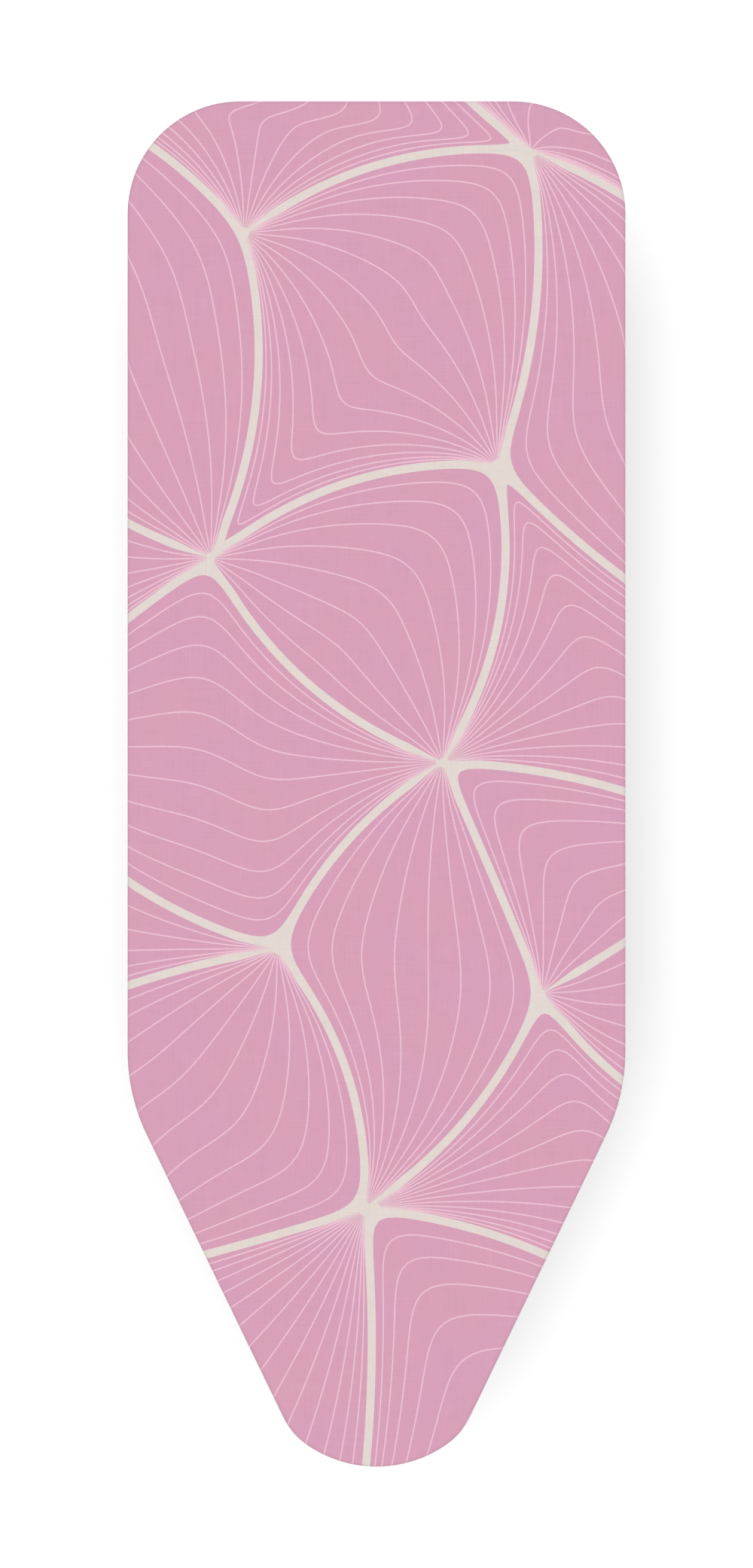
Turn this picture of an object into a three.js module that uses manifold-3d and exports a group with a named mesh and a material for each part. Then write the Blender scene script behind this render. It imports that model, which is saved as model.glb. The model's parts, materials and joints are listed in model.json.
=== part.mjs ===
// A folding ironing board with a steel mesh top, a padded cotton cover and crossed tubular legs.
// The front leg hangs from fixed brackets near the tail. The rear leg's top shaft slides in two slotted
// rails, and a clamp lever on the sliding carriage grips a smooth rod to hold any height.
// Millimetres, +Z up. The nose points along -Y, the tail along +Y, and the origin is on the floor
// under the middle of the board.
import * as THREE from "three";
import { mergeGeometries, mergeVertices } from "three/addons/utils/BufferGeometryUtils.js";
import Module from "manifold-3d";

const wasm = await Module();
wasm.setup();

// ---------------------------------------------------------------- driving dimensions

// The plan of the board, over its cover.
const BOARD_LENGTH = 1240;
const BOARD_WIDTH = 452;
const TAIL_CORNER_RADIUS = 102;
const NOSE_LENGTH = 377; // nose edge to where the shoulder arcs start
const SHOULDER_RADIUS = 173;
const NOSE_RADIUS = 111;
const NOSE_BLEND_RADIUS = 64;
const NOSE_ARC_HALF_ANGLE = 35; // degrees
const ARC_STEP = 10; // most degrees between two points of an arc

// How the board stands.
const WORKING_HEIGHT = 930; // floor to the top of the cover
const LEG_ANGLE = 54; // degrees from the floor, standing
const FOLDED_LEG_ANGLE = 2.5;
const RAISE_ANGLE = 4.7; // from standing to the greatest height

// Layers of the top, from the cover down.
const COVER_THICKNESS = 1.2;
const PAD_THICKNESS = 6;
const MESH_THICKNESS = 0.8;
const RIM_HEIGHT = 18;
const RIM_WIDTH = 9;
const RIM_WALL = 0.9;
const GAP = 0.3; // between pieces that touch, and around a shaft in its hole
const COVER_EDGE_RADIUS = 4;
const COVER_FOLD_RADIUS = 3;
const HEM_INSET = 33; // board edge to the middle of the hem
const HEM_RADIUS = 3.2; // middle of the cloth
const ELASTIC_RADIUS = 1.6;

// Openings of the mesh top: staggered diamonds.
const DIAMOND_PITCH_X = 100;
const DIAMOND_PITCH_Y = 64;
const DIAMOND_STRAND = 12; // metal left between two diamonds, along X and along Y
const DIAMOND_MARGIN = 14; // least metal between a diamond and the sheet's edge

// Ribs and rails under the mesh.
const RIB_WIDTH = 36;
const RIB_WALL = 1;
const TAIL_RIB_SETBACK = 80; // tail edge to the tail rib
const RAIL_X = 56;
const RAIL_WALL = 1.5;
const RAIL_TOP_FLANGE = 16;
const RAIL_LIP = 8;
const RAIL_END_METAL = 25; // rail left beyond the nose end of its slot
const SLOT_END_PLAY = 4; // glide to the slot's end

// Legs.
const PIVOT_SETBACK = 180; // tail edge to the front leg's pivots
const SLIDE_SETBACK = 140; // nose edge to the sliding shaft, with the legs quite flat
const LEG_TUBE_RADIUS = 11;
const LEG_TUBE_WALL = 1;
const TUBE_SIDES = 20;
const ROUND_SIDES = 16; // smaller round pieces
const PIN_SIDES = 12;
const HEXAGON = 6;
const REAR_TUBE_X = 96;
const TUBE_SPACING = 10; // between the front and rear tubes where they cross
const TUBE_OVERHANG = 14; // tube beyond its top pin
const PLUG_RIM = 1.4; // side of the plug's head
const PLUG_DOME = 2.7; // tube's end to the top of its plug
const BRACE_RADIUS = 8;
const FRONT_BRACE_UP = 68; // foot bar to brace, along the leg
const REAR_BRACE_UP = 350;
const FOOT_BAR_RADIUS = 12.5;
const FOOT_CAP_WALL = 2.7;
const FOOT_CAP_SLEEVE = 34;
const FOOT_CAP_END = 12; // how far the cap reaches past the bar
const FOOT_SPARE = 27; // front leg's tube to the cap's sleeve

// Pins, bolts and shafts.
const PIN_RADIUS = 4;
const PIN_HEAD_RADIUS = 7;
const PIN_HEAD = 2.8;
const SHAFT_RADIUS = 6;
const SPACER_RADIUS = 8.5;
const BOLT_HEAD_RADIUS = 7;
const BOLT_HEAD = 5.5;
const CROSS_NUT = 6.5;
const SHAFT_NUT = 3.5;
const BOLT_END = 1.2; // thread beyond its nut
const BRACKET_WALL = 2.5;
const BRACKET_EAR_RADIUS = 12;
const BRACKET_PLAY = 0.8; // between the tube and each ear
const PIVOT_PLAY = 2.2; // between the turning tube's top and the bracket's base

// The sliding carriage with its clamp lever.
const BLOCK_HALF_WIDTH = 30;
const BLOCK_FRONT = 26; // shaft to the block's nose face
const BLOCK_BACK = 22;
const BLOCK_TOP = 12;
const BLOCK_CHAMFER = 5;
const LUG_RADIUS = 7;
const LUG_THICKNESS = 4;
const LUG_PLAY = 0.4; // lug to the lever's barrel
const GLIDE_LENGTH = 30;
const GLIDE_WALL = 2; // nylon above and below the shaft
const GLIDE_FLANGE = 4;
const GLIDE_OVERHANG = 3; // flange past each end of the slot piece
const GLIDE_LIP = 2.6; // flange beyond the slot's edge
const GLIDE_PLAY = 2; // flange to the rail's foot
const ROD_RADIUS = 5;
const ROD_BRACKET_WALL = 3;
const ROD_BRACKET_WIDTH = 30;
const ROD_BRACKET_REACH = 6; // bracket below the rod
const ROD_NUT_RADIUS = 9; // to its corners
const ROD_NUT = 5;
const ROD_END = 14; // rod past each of its brackets
const ROD_NOSE_PLAY = 14; // lever plate to the nose bracket, folded
const ROD_TAIL_PLAY = 48; // carriage block to the tail bracket, at the greatest height
const LEVER_OFFSET = 50; // shaft to lever plate
const LEVER_WALL = 4;
const LEVER_PLATE_HEIGHT = 24;
const LEVER_ARM_HEIGHT = 9;
const LEVER_ARM_PLAY = 1.4; // rail's foot to the arm
const LEVER_ARM_START = 16;
const LEVER_FULCRUM_X = -22;
const LEVER_BARREL_RADIUS = 5.5;
const LEVER_PIN_RADIUS = 2.5;
const LEVER_PIN_SPARE = 6; // pin past the lever plate, above and below
const LEVER_PIN_HEAD_RADIUS = 5;
const LEVER_PIN_HEAD = 2;
const LEVER_ROD_PLAY = 0.9; // rod to the lever's hole
const GRIP_START = 78;
const GRIP_END = 172;
const GRIP_RADIUS = 7;
const GRIP_ROUNDING = 5;
const TANG_SETBACK = 8; // grip's end to the end of the steel inside it
const FINGER_BAR_OFFSET = 13; // shaft to finger bar
const FINGER_BAR_RADIUS = 4;
const FINGER_BAR_START = 12; // board's middle to the bar's end in the block
const SPRING_RADIUS = 8;
const SPRING_WIRE = 0.8;
const SPRING_TURNS = 5;

// ---------------------------------------------------------------- derived places

const rad = THREE.MathUtils.degToRad;
const halfLength = BOARD_LENGTH / 2;
const halfWidth = BOARD_WIDTH / 2;

const padTop = WORKING_HEIGHT - COVER_THICKNESS - GAP;
const padBottom = padTop - PAD_THICKNESS;
const meshTop = padBottom - GAP;
const meshBottom = meshTop - MESH_THICKNESS;
const rimTop = meshBottom - GAP;
const rimBottom = rimTop - RIM_HEIGHT;
const railTop = rimBottom - GAP;
const frontTubeX = REAR_TUBE_X + 2 * LEG_TUBE_RADIUS + TUBE_SPACING;
const tubeTopSweep = Math.hypot(TUBE_OVERHANG + PLUG_RIM, LEG_TUBE_RADIUS);
const railAboveAxis = tubeTopSweep + PIVOT_PLAY + BRACKET_WALL;
const glideCore = SHAFT_RADIUS + GLIDE_WALL; // half the height of the part in the slot
const slotHalf = glideCore + GAP;
const railBelowAxis = glideCore + GLIDE_LIP + GLIDE_PLAY + RAIL_WALL;
const rodDrop = railBelowAxis + LEVER_ARM_PLAY + LEVER_ARM_HEIGHT / 2; // shaft axis to rod axis
const pivotZ = railTop - railAboveAxis;
const rodZ = pivotZ - rodDrop;
const layerInset = COVER_THICKNESS + GAP; // board edge to the edge of pad, mesh and rim
const rimInnerInset = layerInset + RIM_WIDTH;

const pivotY = halfLength - PIVOT_SETBACK;
const upperLeg = (pivotY + halfLength - SLIDE_SETBACK) / 2; // top pivot to crossing bolt
const footCapRadius = FOOT_BAR_RADIUS + GAP + FOOT_CAP_WALL;
const footBarHalf = frontTubeX + LEG_TUBE_RADIUS + FOOT_SPARE + FOOT_CAP_SLEEVE;
const legLength = (pivotZ - footCapRadius) / Math.sin(rad(LEG_ANGLE));
const slideYAt = (degrees) => pivotY - 2 * upperLeg * Math.cos(rad(degrees));
const slideY = slideYAt(LEG_ANGLE);
const foldedSlideY = slideYAt(FOLDED_LEG_ANGLE);
const steepestSlideY = slideYAt(LEG_ANGLE + RAISE_ANGLE);

const slotNoseY = foldedSlideY - GLIDE_LENGTH / 2 - SLOT_END_PLAY;
const slotTailY = steepestSlideY + GLIDE_LENGTH / 2 + SLOT_END_PLAY;
const railNoseY = slotNoseY - RAIL_END_METAL;
const rodNoseY = foldedSlideY - LEVER_OFFSET - ROD_NOSE_PLAY;
const rodTailY = steepestSlideY + BLOCK_BACK + ROD_TAIL_PLAY;
const noseRibY = rodNoseY + RIB_WIDTH / 2 - ROD_BRACKET_WALL;
const centreRibY = rodTailY + RIB_WIDTH / 2 - ROD_BRACKET_WALL;
const tailRibY = halfLength - TAIL_RIB_SETBACK;
const leverY = slideY - LEVER_OFFSET;

// ---------------------------------------------------------------- materials

const finish = (color, roughness, metalness) =>
  new THREE.MeshStandardMaterial({ color, roughness, metalness });
const pinkCotton = finish(0xdaa2ba, 0.9, 0);
const whiteElastic = finish(0xe9e6df, 0.9, 0);
const greyFoam = finish(0xb9bcc0, 0.95, 0);
const sheetSteel = finish(0xb8bbbd, 0.45, 0.9);
const whitePaint = finish(0xe6e5e0, 0.35, 0.1);
const zincSteel = finish(0xc3c5c8, 0.3, 1);
const darkPlastic = finish(0x3c3f44, 0.55, 0);

// ---------------------------------------------------------------- geometry helpers

// A closed three.js geometry as a manifold-3d solid, and back.
function solidOf(geometry) {
  const bare = geometry.clone();
  bare.deleteAttribute("normal");
  bare.deleteAttribute("uv");
  const merged = mergeVertices(bare, 1e-4);
  const mesh = new wasm.Mesh({
    numProp: 3,
    vertProperties: merged.attributes.position.array,
    triVerts: new Uint32Array(merged.index.array),
  });
  return new wasm.Manifold(mesh);
}

function geometryOf(solid) {
  const mesh = solid.getMesh();
  const geometry = new THREE.BufferGeometry();
  geometry.setAttribute("position", new THREE.BufferAttribute(mesh.vertProperties, 3));
  geometry.setIndex(new THREE.BufferAttribute(mesh.triVerts, 1));
  geometry.computeVertexNormals();
  return geometry;
}

// The geometries of `joined` as one body, with those of `removed` cut away.
function shaped(joined, removed = []) {
  let solid = solidOf(joined[0]);
  for (const piece of joined.slice(1)) solid = solid.add(solidOf(piece));
  for (const piece of removed) solid = solid.subtract(solidOf(piece));
  return geometryOf(solid);
}

// The piece as drawn for the right side, or its mirror image for the left.
function forSide(side, geometry) {
  if (side > 0) return geometry;
  const image = geometryOf(solidOf(geometry)).scale(-1, 1, 1);
  const index = image.index.array;
  for (let i = 0; i < index.length; i += 3) {
    const second = index[i + 1];
    index[i + 1] = index[i + 2];
    index[i + 2] = second;
  }
  return image;
}

// A turned piece from [radius, along] pairs, with its axis along x, y or z.
function turned(profile, axis, sides = TUBE_SIDES) {
  const geometry = new THREE.LatheGeometry(
    profile.map(([radius, along]) => new THREE.Vector2(radius, along)),
    sides,
  );
  if (axis === "x") geometry.rotateZ(-Math.PI / 2);
  if (axis === "z") geometry.rotateX(Math.PI / 2);
  return geometry;
}

function rod(radius, from, to, axis, sides) {
  return turned([[0, from], [radius, from], [radius, to], [0, to]], axis, sides);
}

function tube(outer, inner, from, to, axis, sides) {
  const profile = [[inner, from], [outer, from], [outer, to], [inner, to], [inner, from]];
  return turned(profile, axis, sides);
}

function box(x0, x1, y0, y1, z0, z1) {
  const geometry = new THREE.BoxGeometry(x1 - x0, y1 - y0, z1 - z0);
  return geometry.translate((x0 + x1) / 2, (y0 + y1) / 2, (z0 + z1) / 2);
}

// A flat shape drawn as [x, y] points, drawn out along z.
function prism(points, depth) {
  const shape = new THREE.Shape(points.map(([x, y]) => new THREE.Vector2(x, y)));
  return new THREE.ExtrudeGeometry(shape, { depth, bevelEnabled: false });
}

// A skin through rings of equal length. The last ring joins the first, or flat caps close both ends.
function loft(rings, closed) {
  const count = rings[0].length;
  const index = [];
  const bands = closed ? rings.length : rings.length - 1;
  for (let band = 0; band < bands; band++) {
    const a = band * count;
    const b = ((band + 1) % rings.length) * count;
    for (let i = 0; i < count; i++) {
      const next = (i + 1) % count;
      index.push(a + i, a + next, b + next, a + i, b + next, b + i);
    }
  }
  const last = (rings.length - 1) * count;
  for (let i = 1; !closed && i < count - 1; i++) {
    index.push(0, i + 1, i, last, last + i, last + i + 1);
  }
  const geometry = new THREE.BufferGeometry();
  const corners = rings.flat().flatMap((point) => [point.x, point.y, point.z]);
  geometry.setAttribute("position", new THREE.Float32BufferAttribute(corners, 3));
  geometry.setIndex(index);
  geometry.computeVertexNormals();
  return geometry;
}

// A line of [inset, z] points moved sideways by a distance, with mitred corners.
function beside(path, distance) {
  return path.map(([u, z], i) => {
    const [u0, z0] = path[Math.max(i - 1, 0)];
    const [u1, z1] = path[Math.min(i + 1, path.length - 1)];
    const before = Math.atan2(z - z0, u - u0);
    const after = Math.atan2(z1 - z, u1 - u);
    const a = i === 0 ? after : before;
    const b = i === path.length - 1 ? before : after;
    const turn = Math.atan2(Math.sin(b - a), Math.cos(b - a));
    const normal = a + turn / 2 + Math.PI / 2;
    const reach = distance / Math.cos(turn / 2);
    return [u + reach * Math.cos(normal), z + reach * Math.sin(normal)];
  });
}

// Points [u, z] of an arc in the section plane, from one angle to another in degrees.
function sectionArc(u, z, radius, from, to, steps) {
  return Array.from({ length: steps + 1 }, (_, i) => {
    const angle = rad(from + ((to - from) * i) / steps);
    return [u + radius * Math.cos(angle), z + radius * Math.sin(angle)];
  });
}

// ---------------------------------------------------------------- the board's plan

// Arcs round the plan, counter-clockwise from the right side. Each gives its centre, its radius and
// the angles of its outward normal; the straight stretches are the gaps between arcs.
function planArcs() {
  const tail = { x: halfWidth - TAIL_CORNER_RADIUS, y: halfLength - TAIL_CORNER_RADIUS };
  const shoulder = { x: halfWidth - SHOULDER_RADIUS, y: NOSE_LENGTH - halfLength };
  const nose = { x: 0, y: NOSE_RADIUS - halfLength };
  const inward = NOSE_RADIUS - NOSE_BLEND_RADIUS;
  const blend = {
    x: inward * Math.sin(rad(NOSE_ARC_HALF_ANGLE)),
    y: nose.y - inward * Math.cos(rad(NOSE_ARC_HALF_ANGLE)),
  };
  // The taper is the outer tangent of the shoulder and blend circles.
  const dx = shoulder.x - blend.x;
  const dy = shoulder.y - blend.y;
  const lean = Math.acos((NOSE_BLEND_RADIUS - SHOULDER_RADIUS) / Math.hypot(dx, dy));
  const taper = THREE.MathUtils.radToDeg(lean - Math.atan2(dy, dx));
  const tip = NOSE_ARC_HALF_ANGLE;
  const arc = (centre, side, radius, from, to) => ({ x: side * centre.x, y: centre.y, radius, from, to });
  return [
    arc(tail, 1, TAIL_CORNER_RADIUS, 0, 90),
    arc(tail, -1, TAIL_CORNER_RADIUS, 90, 180),
    arc(shoulder, -1, SHOULDER_RADIUS, 180, 180 + taper),
    arc(blend, -1, NOSE_BLEND_RADIUS, 180 + taper, 270 - tip),
    arc(nose, 1, NOSE_RADIUS, 270 - tip, 270 + tip),
    arc(blend, 1, NOSE_BLEND_RADIUS, 270 + tip, 360 - taper),
    arc(shoulder, 1, SHOULDER_RADIUS, 360 - taper, 360),
  ];
}

// Points round the plan with their outward normals, with no point twice.
function planPoints() {
  const points = [];
  for (const { x, y, radius, from, to } of planArcs()) {
    const steps = 2 * Math.ceil((to - from) / (2 * ARC_STEP));
    for (let i = 0; i <= steps; i++) {
      const angle = rad(from + ((to - from) * i) / steps);
      const normal = new THREE.Vector2(Math.cos(angle), Math.sin(angle));
      const place = new THREE.Vector2(x, y).addScaledVector(normal, radius);
      const before = points[points.length - 1];
      if (!before || before.place.distanceTo(place) > 0.01) points.push({ place, normal });
    }
  }
  return points;
}

const plan = planPoints();
const planInset = (inset) => plan.map(({ place, normal }) => place.clone().addScaledVector(normal, -inset));
const ring = ([inset, z]) => planInset(inset).map(({ x, y }) => new THREE.Vector3(x, y, z));
const section = (path, closed) => loft(path.map(ring), closed);

// The plan as an upright solid, to trim what ends at the rim.
function planPrism(inset, z0, z1) {
  const shape = new THREE.Shape(planInset(inset));
  const geometry = new THREE.ExtrudeGeometry(shape, { depth: z1 - z0, bevelEnabled: false });
  return geometry.translate(0, 0, z0);
}

// True where a point lies inside the plan by at least that inset.
function insidePlan(x, y, inset) {
  return plan.every(({ place, normal }) => {
    return (x - place.x) * normal.x + (y - place.y) * normal.y <= -inset;
  });
}

// ---------------------------------------------------------------- the assembly

const ironingBoard = new THREE.Group();
const sides = [["left", -1], ["right", 1]];

function addPiece(group, name, geometry, material, x = 0, y = 0, z = 0) {
  const mesh = new THREE.Mesh(geometry, material);
  mesh.name = name;
  mesh.position.set(x, y, z);
  group.add(mesh);
}

// Cover: the top, the turned edge, the skirt under the rim and the hem rolled round its elastic.
const skirtZ = rimBottom - GAP - COVER_THICKNESS / 2;
const hemZ = skirtZ - HEM_RADIUS;

function coverGeometry() {
  const half = COVER_THICKNESS / 2;
  const edgeZ = WORKING_HEIGHT - COVER_EDGE_RADIUS;
  const foldZ = skirtZ - half + COVER_FOLD_RADIUS;
  const cloth = [
    ...sectionArc(COVER_EDGE_RADIUS, edgeZ, COVER_EDGE_RADIUS - half, 90, 180, 3),
    ...sectionArc(COVER_FOLD_RADIUS, foldZ, COVER_FOLD_RADIUS - half, 180, 270, 3),
    ...sectionArc(HEM_INSET, hemZ, HEM_RADIUS, 90, -218, 8),
  ];
  return section([...beside(cloth, half), ...beside(cloth, -half).reverse()], false);
}

function padGeometry() {
  const round = COVER_EDGE_RADIUS - COVER_THICKNESS - GAP;
  const corner = sectionArc(layerInset + round, padTop - round, round, 180, 90, 3);
  return section([[layerInset, padBottom], ...corner], false);
}

// Rim: a folded channel that is open towards the middle, with its outer corners broken.
function rimGeometry() {
  const outer = layerInset;
  const inner = rimInnerInset;
  const broken = 2;
  return section([
    [inner, rimTop], [inner, rimTop - RIM_WALL], [outer + RIM_WALL, rimTop - RIM_WALL],
    [outer + RIM_WALL, rimBottom + RIM_WALL], [inner, rimBottom + RIM_WALL], [inner, rimBottom],
    [outer + broken, rimBottom], [outer, rimBottom + broken],
    [outer, rimTop - broken], [outer + broken, rimTop],
  ], true);
}

function meshGeometry() {
  const halfX = (DIAMOND_PITCH_X - DIAMOND_STRAND) / 2;
  const halfY = (DIAMOND_PITCH_Y - DIAMOND_STRAND) / 2;
  const rows = Math.ceil(BOARD_LENGTH / DIAMOND_PITCH_Y);
  const columns = Math.ceil(BOARD_WIDTH / DIAMOND_PITCH_X);
  const diamonds = [];
  for (let row = -rows; row <= rows; row++) {
    for (let column = -columns; column <= columns; column++) {
      const x = (column + (row % 2 === 0 ? 0 : 0.5)) * DIAMOND_PITCH_X;
      const y = (row * DIAMOND_PITCH_Y) / 2;
      const tips = [[x + halfX, y], [x, y + halfY], [x - halfX, y], [x, y - halfY]];
      if (!tips.every(([tipX, tipY]) => insidePlan(tipX, tipY, layerInset + DIAMOND_MARGIN))) continue;
      diamonds.push(prism(tips, 3 * MESH_THICKNESS).translate(0, 0, meshBottom - MESH_THICKNESS));
    }
  }
  return shaped([planPrism(layerInset, meshBottom, meshTop)], [mergeGeometries(diamonds)]);
}

// The elastic cord in the hem is sewn into one loop.
function elasticGeometry() {
  return section(sectionArc(HEM_INSET, hemZ, ELASTIC_RADIUS, 360, 45, 7), true);
}

// A rib is a channel as deep as the rim. It opens upwards and ends at the rim.
function ribGeometry(y) {
  const half = RIB_WIDTH / 2;
  const channel = prism([
    [-half, 0], [half, 0], [half, RIM_HEIGHT], [half - RIB_WALL, RIM_HEIGHT], [half - RIB_WALL, RIB_WALL],
    [RIB_WALL - half, RIB_WALL], [RIB_WALL - half, RIM_HEIGHT], [-half, RIM_HEIGHT],
  ], BOARD_WIDTH);
  channel.rotateX(Math.PI / 2).rotateZ(Math.PI / 2).translate(-halfWidth, y, rimBottom);
  const within = planPrism(rimInnerInset + GAP, rimBottom - 1, rimTop + 1);
  return geometryOf(solidOf(channel).intersect(solidOf(within)));
}

// The right rail is a slotted web with a flange under the ribs and a lip along its foot.
function railGeometry() {
  const z0 = -railBelowAxis;
  const z1 = railAboveAxis;
  const half = RAIL_WALL / 2;
  const flange = -half - RAIL_TOP_FLANGE;
  const lip = -half - RAIL_LIP;
  const length = tailRibY + RIB_WIDTH / 2 - railNoseY;
  const profile = prism([
    [half, z0], [half, z1], [flange, z1], [flange, z1 - RAIL_WALL],
    [-half, z1 - RAIL_WALL], [-half, z0 + RAIL_WALL], [lip, z0 + RAIL_WALL], [lip, z0],
  ], length);
  profile.rotateX(Math.PI / 2).translate(0, railNoseY + length, 0);
  return shaped([profile], [box(-RAIL_WALL, RAIL_WALL, slotNoseY, slotTailY, -slotHalf, slotHalf)]);
}

// A clevis for the front leg's top: a base under the rib and two ears round the tube.
function pivotBracketGeometry() {
  const inner = LEG_TUBE_RADIUS + BRACKET_PLAY;
  const outer = inner + BRACKET_WALL;
  const top = railTop - pivotZ;
  const ear = (x) => {
    const plate = box(x, x + BRACKET_WALL, -BRACKET_EAR_RADIUS, BRACKET_EAR_RADIUS, 0, top - 1);
    return shaped([plate, rod(BRACKET_EAR_RADIUS, x, x + BRACKET_WALL, "x")]);
  };
  const base = box(-outer, outer, -RIB_WIDTH / 2, RIB_WIDTH / 2, top - BRACKET_WALL, top);
  const hole = rod(PIN_RADIUS + GAP, -2 * outer, 2 * outer, "x", ROUND_SIDES);
  return shaped([base, ear(-outer), ear(inner)], [hole]);
}

// A plate that hangs from a rib's nose edge and holds one end of the rod, with a foot under the rib.
function rodBracketGeometry() {
  const top = railTop - rodZ;
  const half = ROD_BRACKET_WIDTH / 2;
  const wall = ROD_BRACKET_WALL / 2;
  const plate = box(-half, half, -wall, wall, -ROD_RADIUS - ROD_BRACKET_REACH, top);
  const foot = box(-half, half, 0, RIB_WIDTH / 2, top - ROD_BRACKET_WALL, top);
  const reach = 2 * ROD_BRACKET_WALL;
  return shaped([plate, foot], [rod(ROD_RADIUS + GAP, -reach, reach, "y", ROUND_SIDES)]);
}

// A hexagon nut with its hole along the given axis.
function nutGeometry(holeRadius, acrossCorners, thickness, axis) {
  const blank = rod(acrossCorners, 0, thickness, axis, HEXAGON);
  return shaped([blank], [rod(holeRadius, -1, thickness + 1, axis, PIN_SIDES)]);
}

function buildTop() {
  const top = new THREE.Group();
  addPiece(top, "cover", coverGeometry(), pinkCotton);
  addPiece(top, "hem_elastic", elasticGeometry(), whiteElastic);
  addPiece(top, "foam_pad", padGeometry(), greyFoam);
  addPiece(top, "mesh_top", meshGeometry(), sheetSteel);
  addPiece(top, "edge_rim", rimGeometry(), whitePaint);
  const ribs = { tail: tailRibY, pivot: pivotY, centre: centreRibY, nose: noseRibY };
  for (const [place, y] of Object.entries(ribs)) addPiece(top, `${place}_rib`, ribGeometry(y), whitePaint);

  const lockRod = rod(ROD_RADIUS, rodNoseY - ROD_END, rodTailY + ROD_END, "y", ROUND_SIDES);
  addPiece(top, "lock_rod", lockRod, zincSteel, 0, 0, rodZ);
  const nut = nutGeometry(ROD_RADIUS + GAP, ROD_NUT_RADIUS, ROD_NUT, "y");
  const outside = ROD_BRACKET_WALL / 2 + GAP;
  addPiece(top, "rod_bracket_nose", rodBracketGeometry(), whitePaint, 0, rodNoseY, rodZ);
  addPiece(top, "rod_bracket_tail", rodBracketGeometry(), whitePaint, 0, rodTailY, rodZ);
  addPiece(top, "rod_nut_nose", nut.clone(), zincSteel, 0, rodNoseY - outside - ROD_NUT, rodZ);
  addPiece(top, "rod_nut_tail", nut, zincSteel, 0, rodTailY + outside, rodZ);

  const earOuter = LEG_TUBE_RADIUS + BRACKET_PLAY + BRACKET_WALL + GAP;
  for (const [name, side] of sides) {
    const x = side * frontTubeX;
    const rail = forSide(side, railGeometry());
    addPiece(top, `guide_rail_${name}`, rail, whitePaint, side * RAIL_X, 0, pivotZ);
    addPiece(top, `pivot_bracket_${name}`, pivotBracketGeometry(), whitePaint, x, pivotY, pivotZ);
    addPiece(top, `pivot_pin_${name}`, rivetGeometry(earOuter), zincSteel, x, pivotY, pivotZ);
  }
  ironingBoard.add(top);
}

// A rivet along x with a domed head at each end; half is from its middle to the seat of a head.
function rivetGeometry(half) {
  const end = half + PIN_HEAD;
  return turned([
    [0, -end], [PIN_HEAD_RADIUS * 0.6, 0.3 - end],
    [PIN_HEAD_RADIUS, -half - 0.8], [PIN_HEAD_RADIUS, -half],
    [PIN_RADIUS, -half], [PIN_RADIUS, half],
    [PIN_HEAD_RADIUS, half], [PIN_HEAD_RADIUS, half + 0.8],
    [PIN_HEAD_RADIUS * 0.6, end - 0.3], [0, end],
  ], "x", ROUND_SIDES);
}

// A leg's side tube hangs from its top pin at z 0 and is saddle cut where it meets the foot bar.
function legTubeGeometry(topHole) {
  const across = 2 * LEG_TUBE_RADIUS;
  const blank = tube(LEG_TUBE_RADIUS, LEG_TUBE_RADIUS - LEG_TUBE_WALL, -legLength, TUBE_OVERHANG, "z");
  return shaped([blank], [
    rod(topHole, -across, across, "x", ROUND_SIDES),
    rod(PIN_RADIUS + GAP, -across, across, "x", ROUND_SIDES).translate(0, 0, -upperLeg),
    rod(FOOT_BAR_RADIUS + GAP, -across, across, "x").translate(0, 0, -legLength),
  ]);
}

// A cross tube between the two side tubes, notched to fit round them.
function braceGeometry(tubeX) {
  const blank = tube(BRACE_RADIUS, BRACE_RADIUS - LEG_TUBE_WALL, -tubeX, tubeX, "x", ROUND_SIDES);
  const reach = 2 * BRACE_RADIUS;
  const notch = (side) => {
    return rod(LEG_TUBE_RADIUS + GAP, -reach, reach, "z").translate(side * tubeX, 0, 0);
  };
  return shaped([blank], [notch(-1), notch(1)]);
}

// The plug in a tube's open end: a low dome and a spigot that stops short of the pin.
function endPlugGeometry() {
  const spigot = LEG_TUBE_RADIUS - LEG_TUBE_WALL - GAP;
  const depth = TUBE_OVERHANG - SHAFT_RADIUS - 1;
  return turned([
    [0, -depth], [spigot, -depth], [spigot, GAP],
    [LEG_TUBE_RADIUS - 0.5, GAP], [LEG_TUBE_RADIUS - 1.2, PLUG_RIM],
    [LEG_TUBE_RADIUS * 0.6, PLUG_DOME - GAP], [0, PLUG_DOME],
  ], "z", ROUND_SIDES);
}

// A cap with a sleeve over the foot bar's end and a rounded outer end; it opens towards -x.
function footCapGeometry() {
  const bore = FOOT_BAR_RADIUS + GAP;
  const dome = [[1, 0], [1, 0.42], [0.94, 0.7], [0.78, 0.9], [0.5, 1]]; // shares of its radius and length
  return turned([
    [bore, -FOOT_CAP_SLEEVE], [footCapRadius - 1, -FOOT_CAP_SLEEVE],
    [footCapRadius, 1 - FOOT_CAP_SLEEVE],
    ...dome.map(([share, along]) => [footCapRadius * share, FOOT_CAP_END * along]),
    [0, FOOT_CAP_END], [0, GAP], [bore, GAP], [bore, -FOOT_CAP_SLEEVE],
  ], "x");
}

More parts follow.
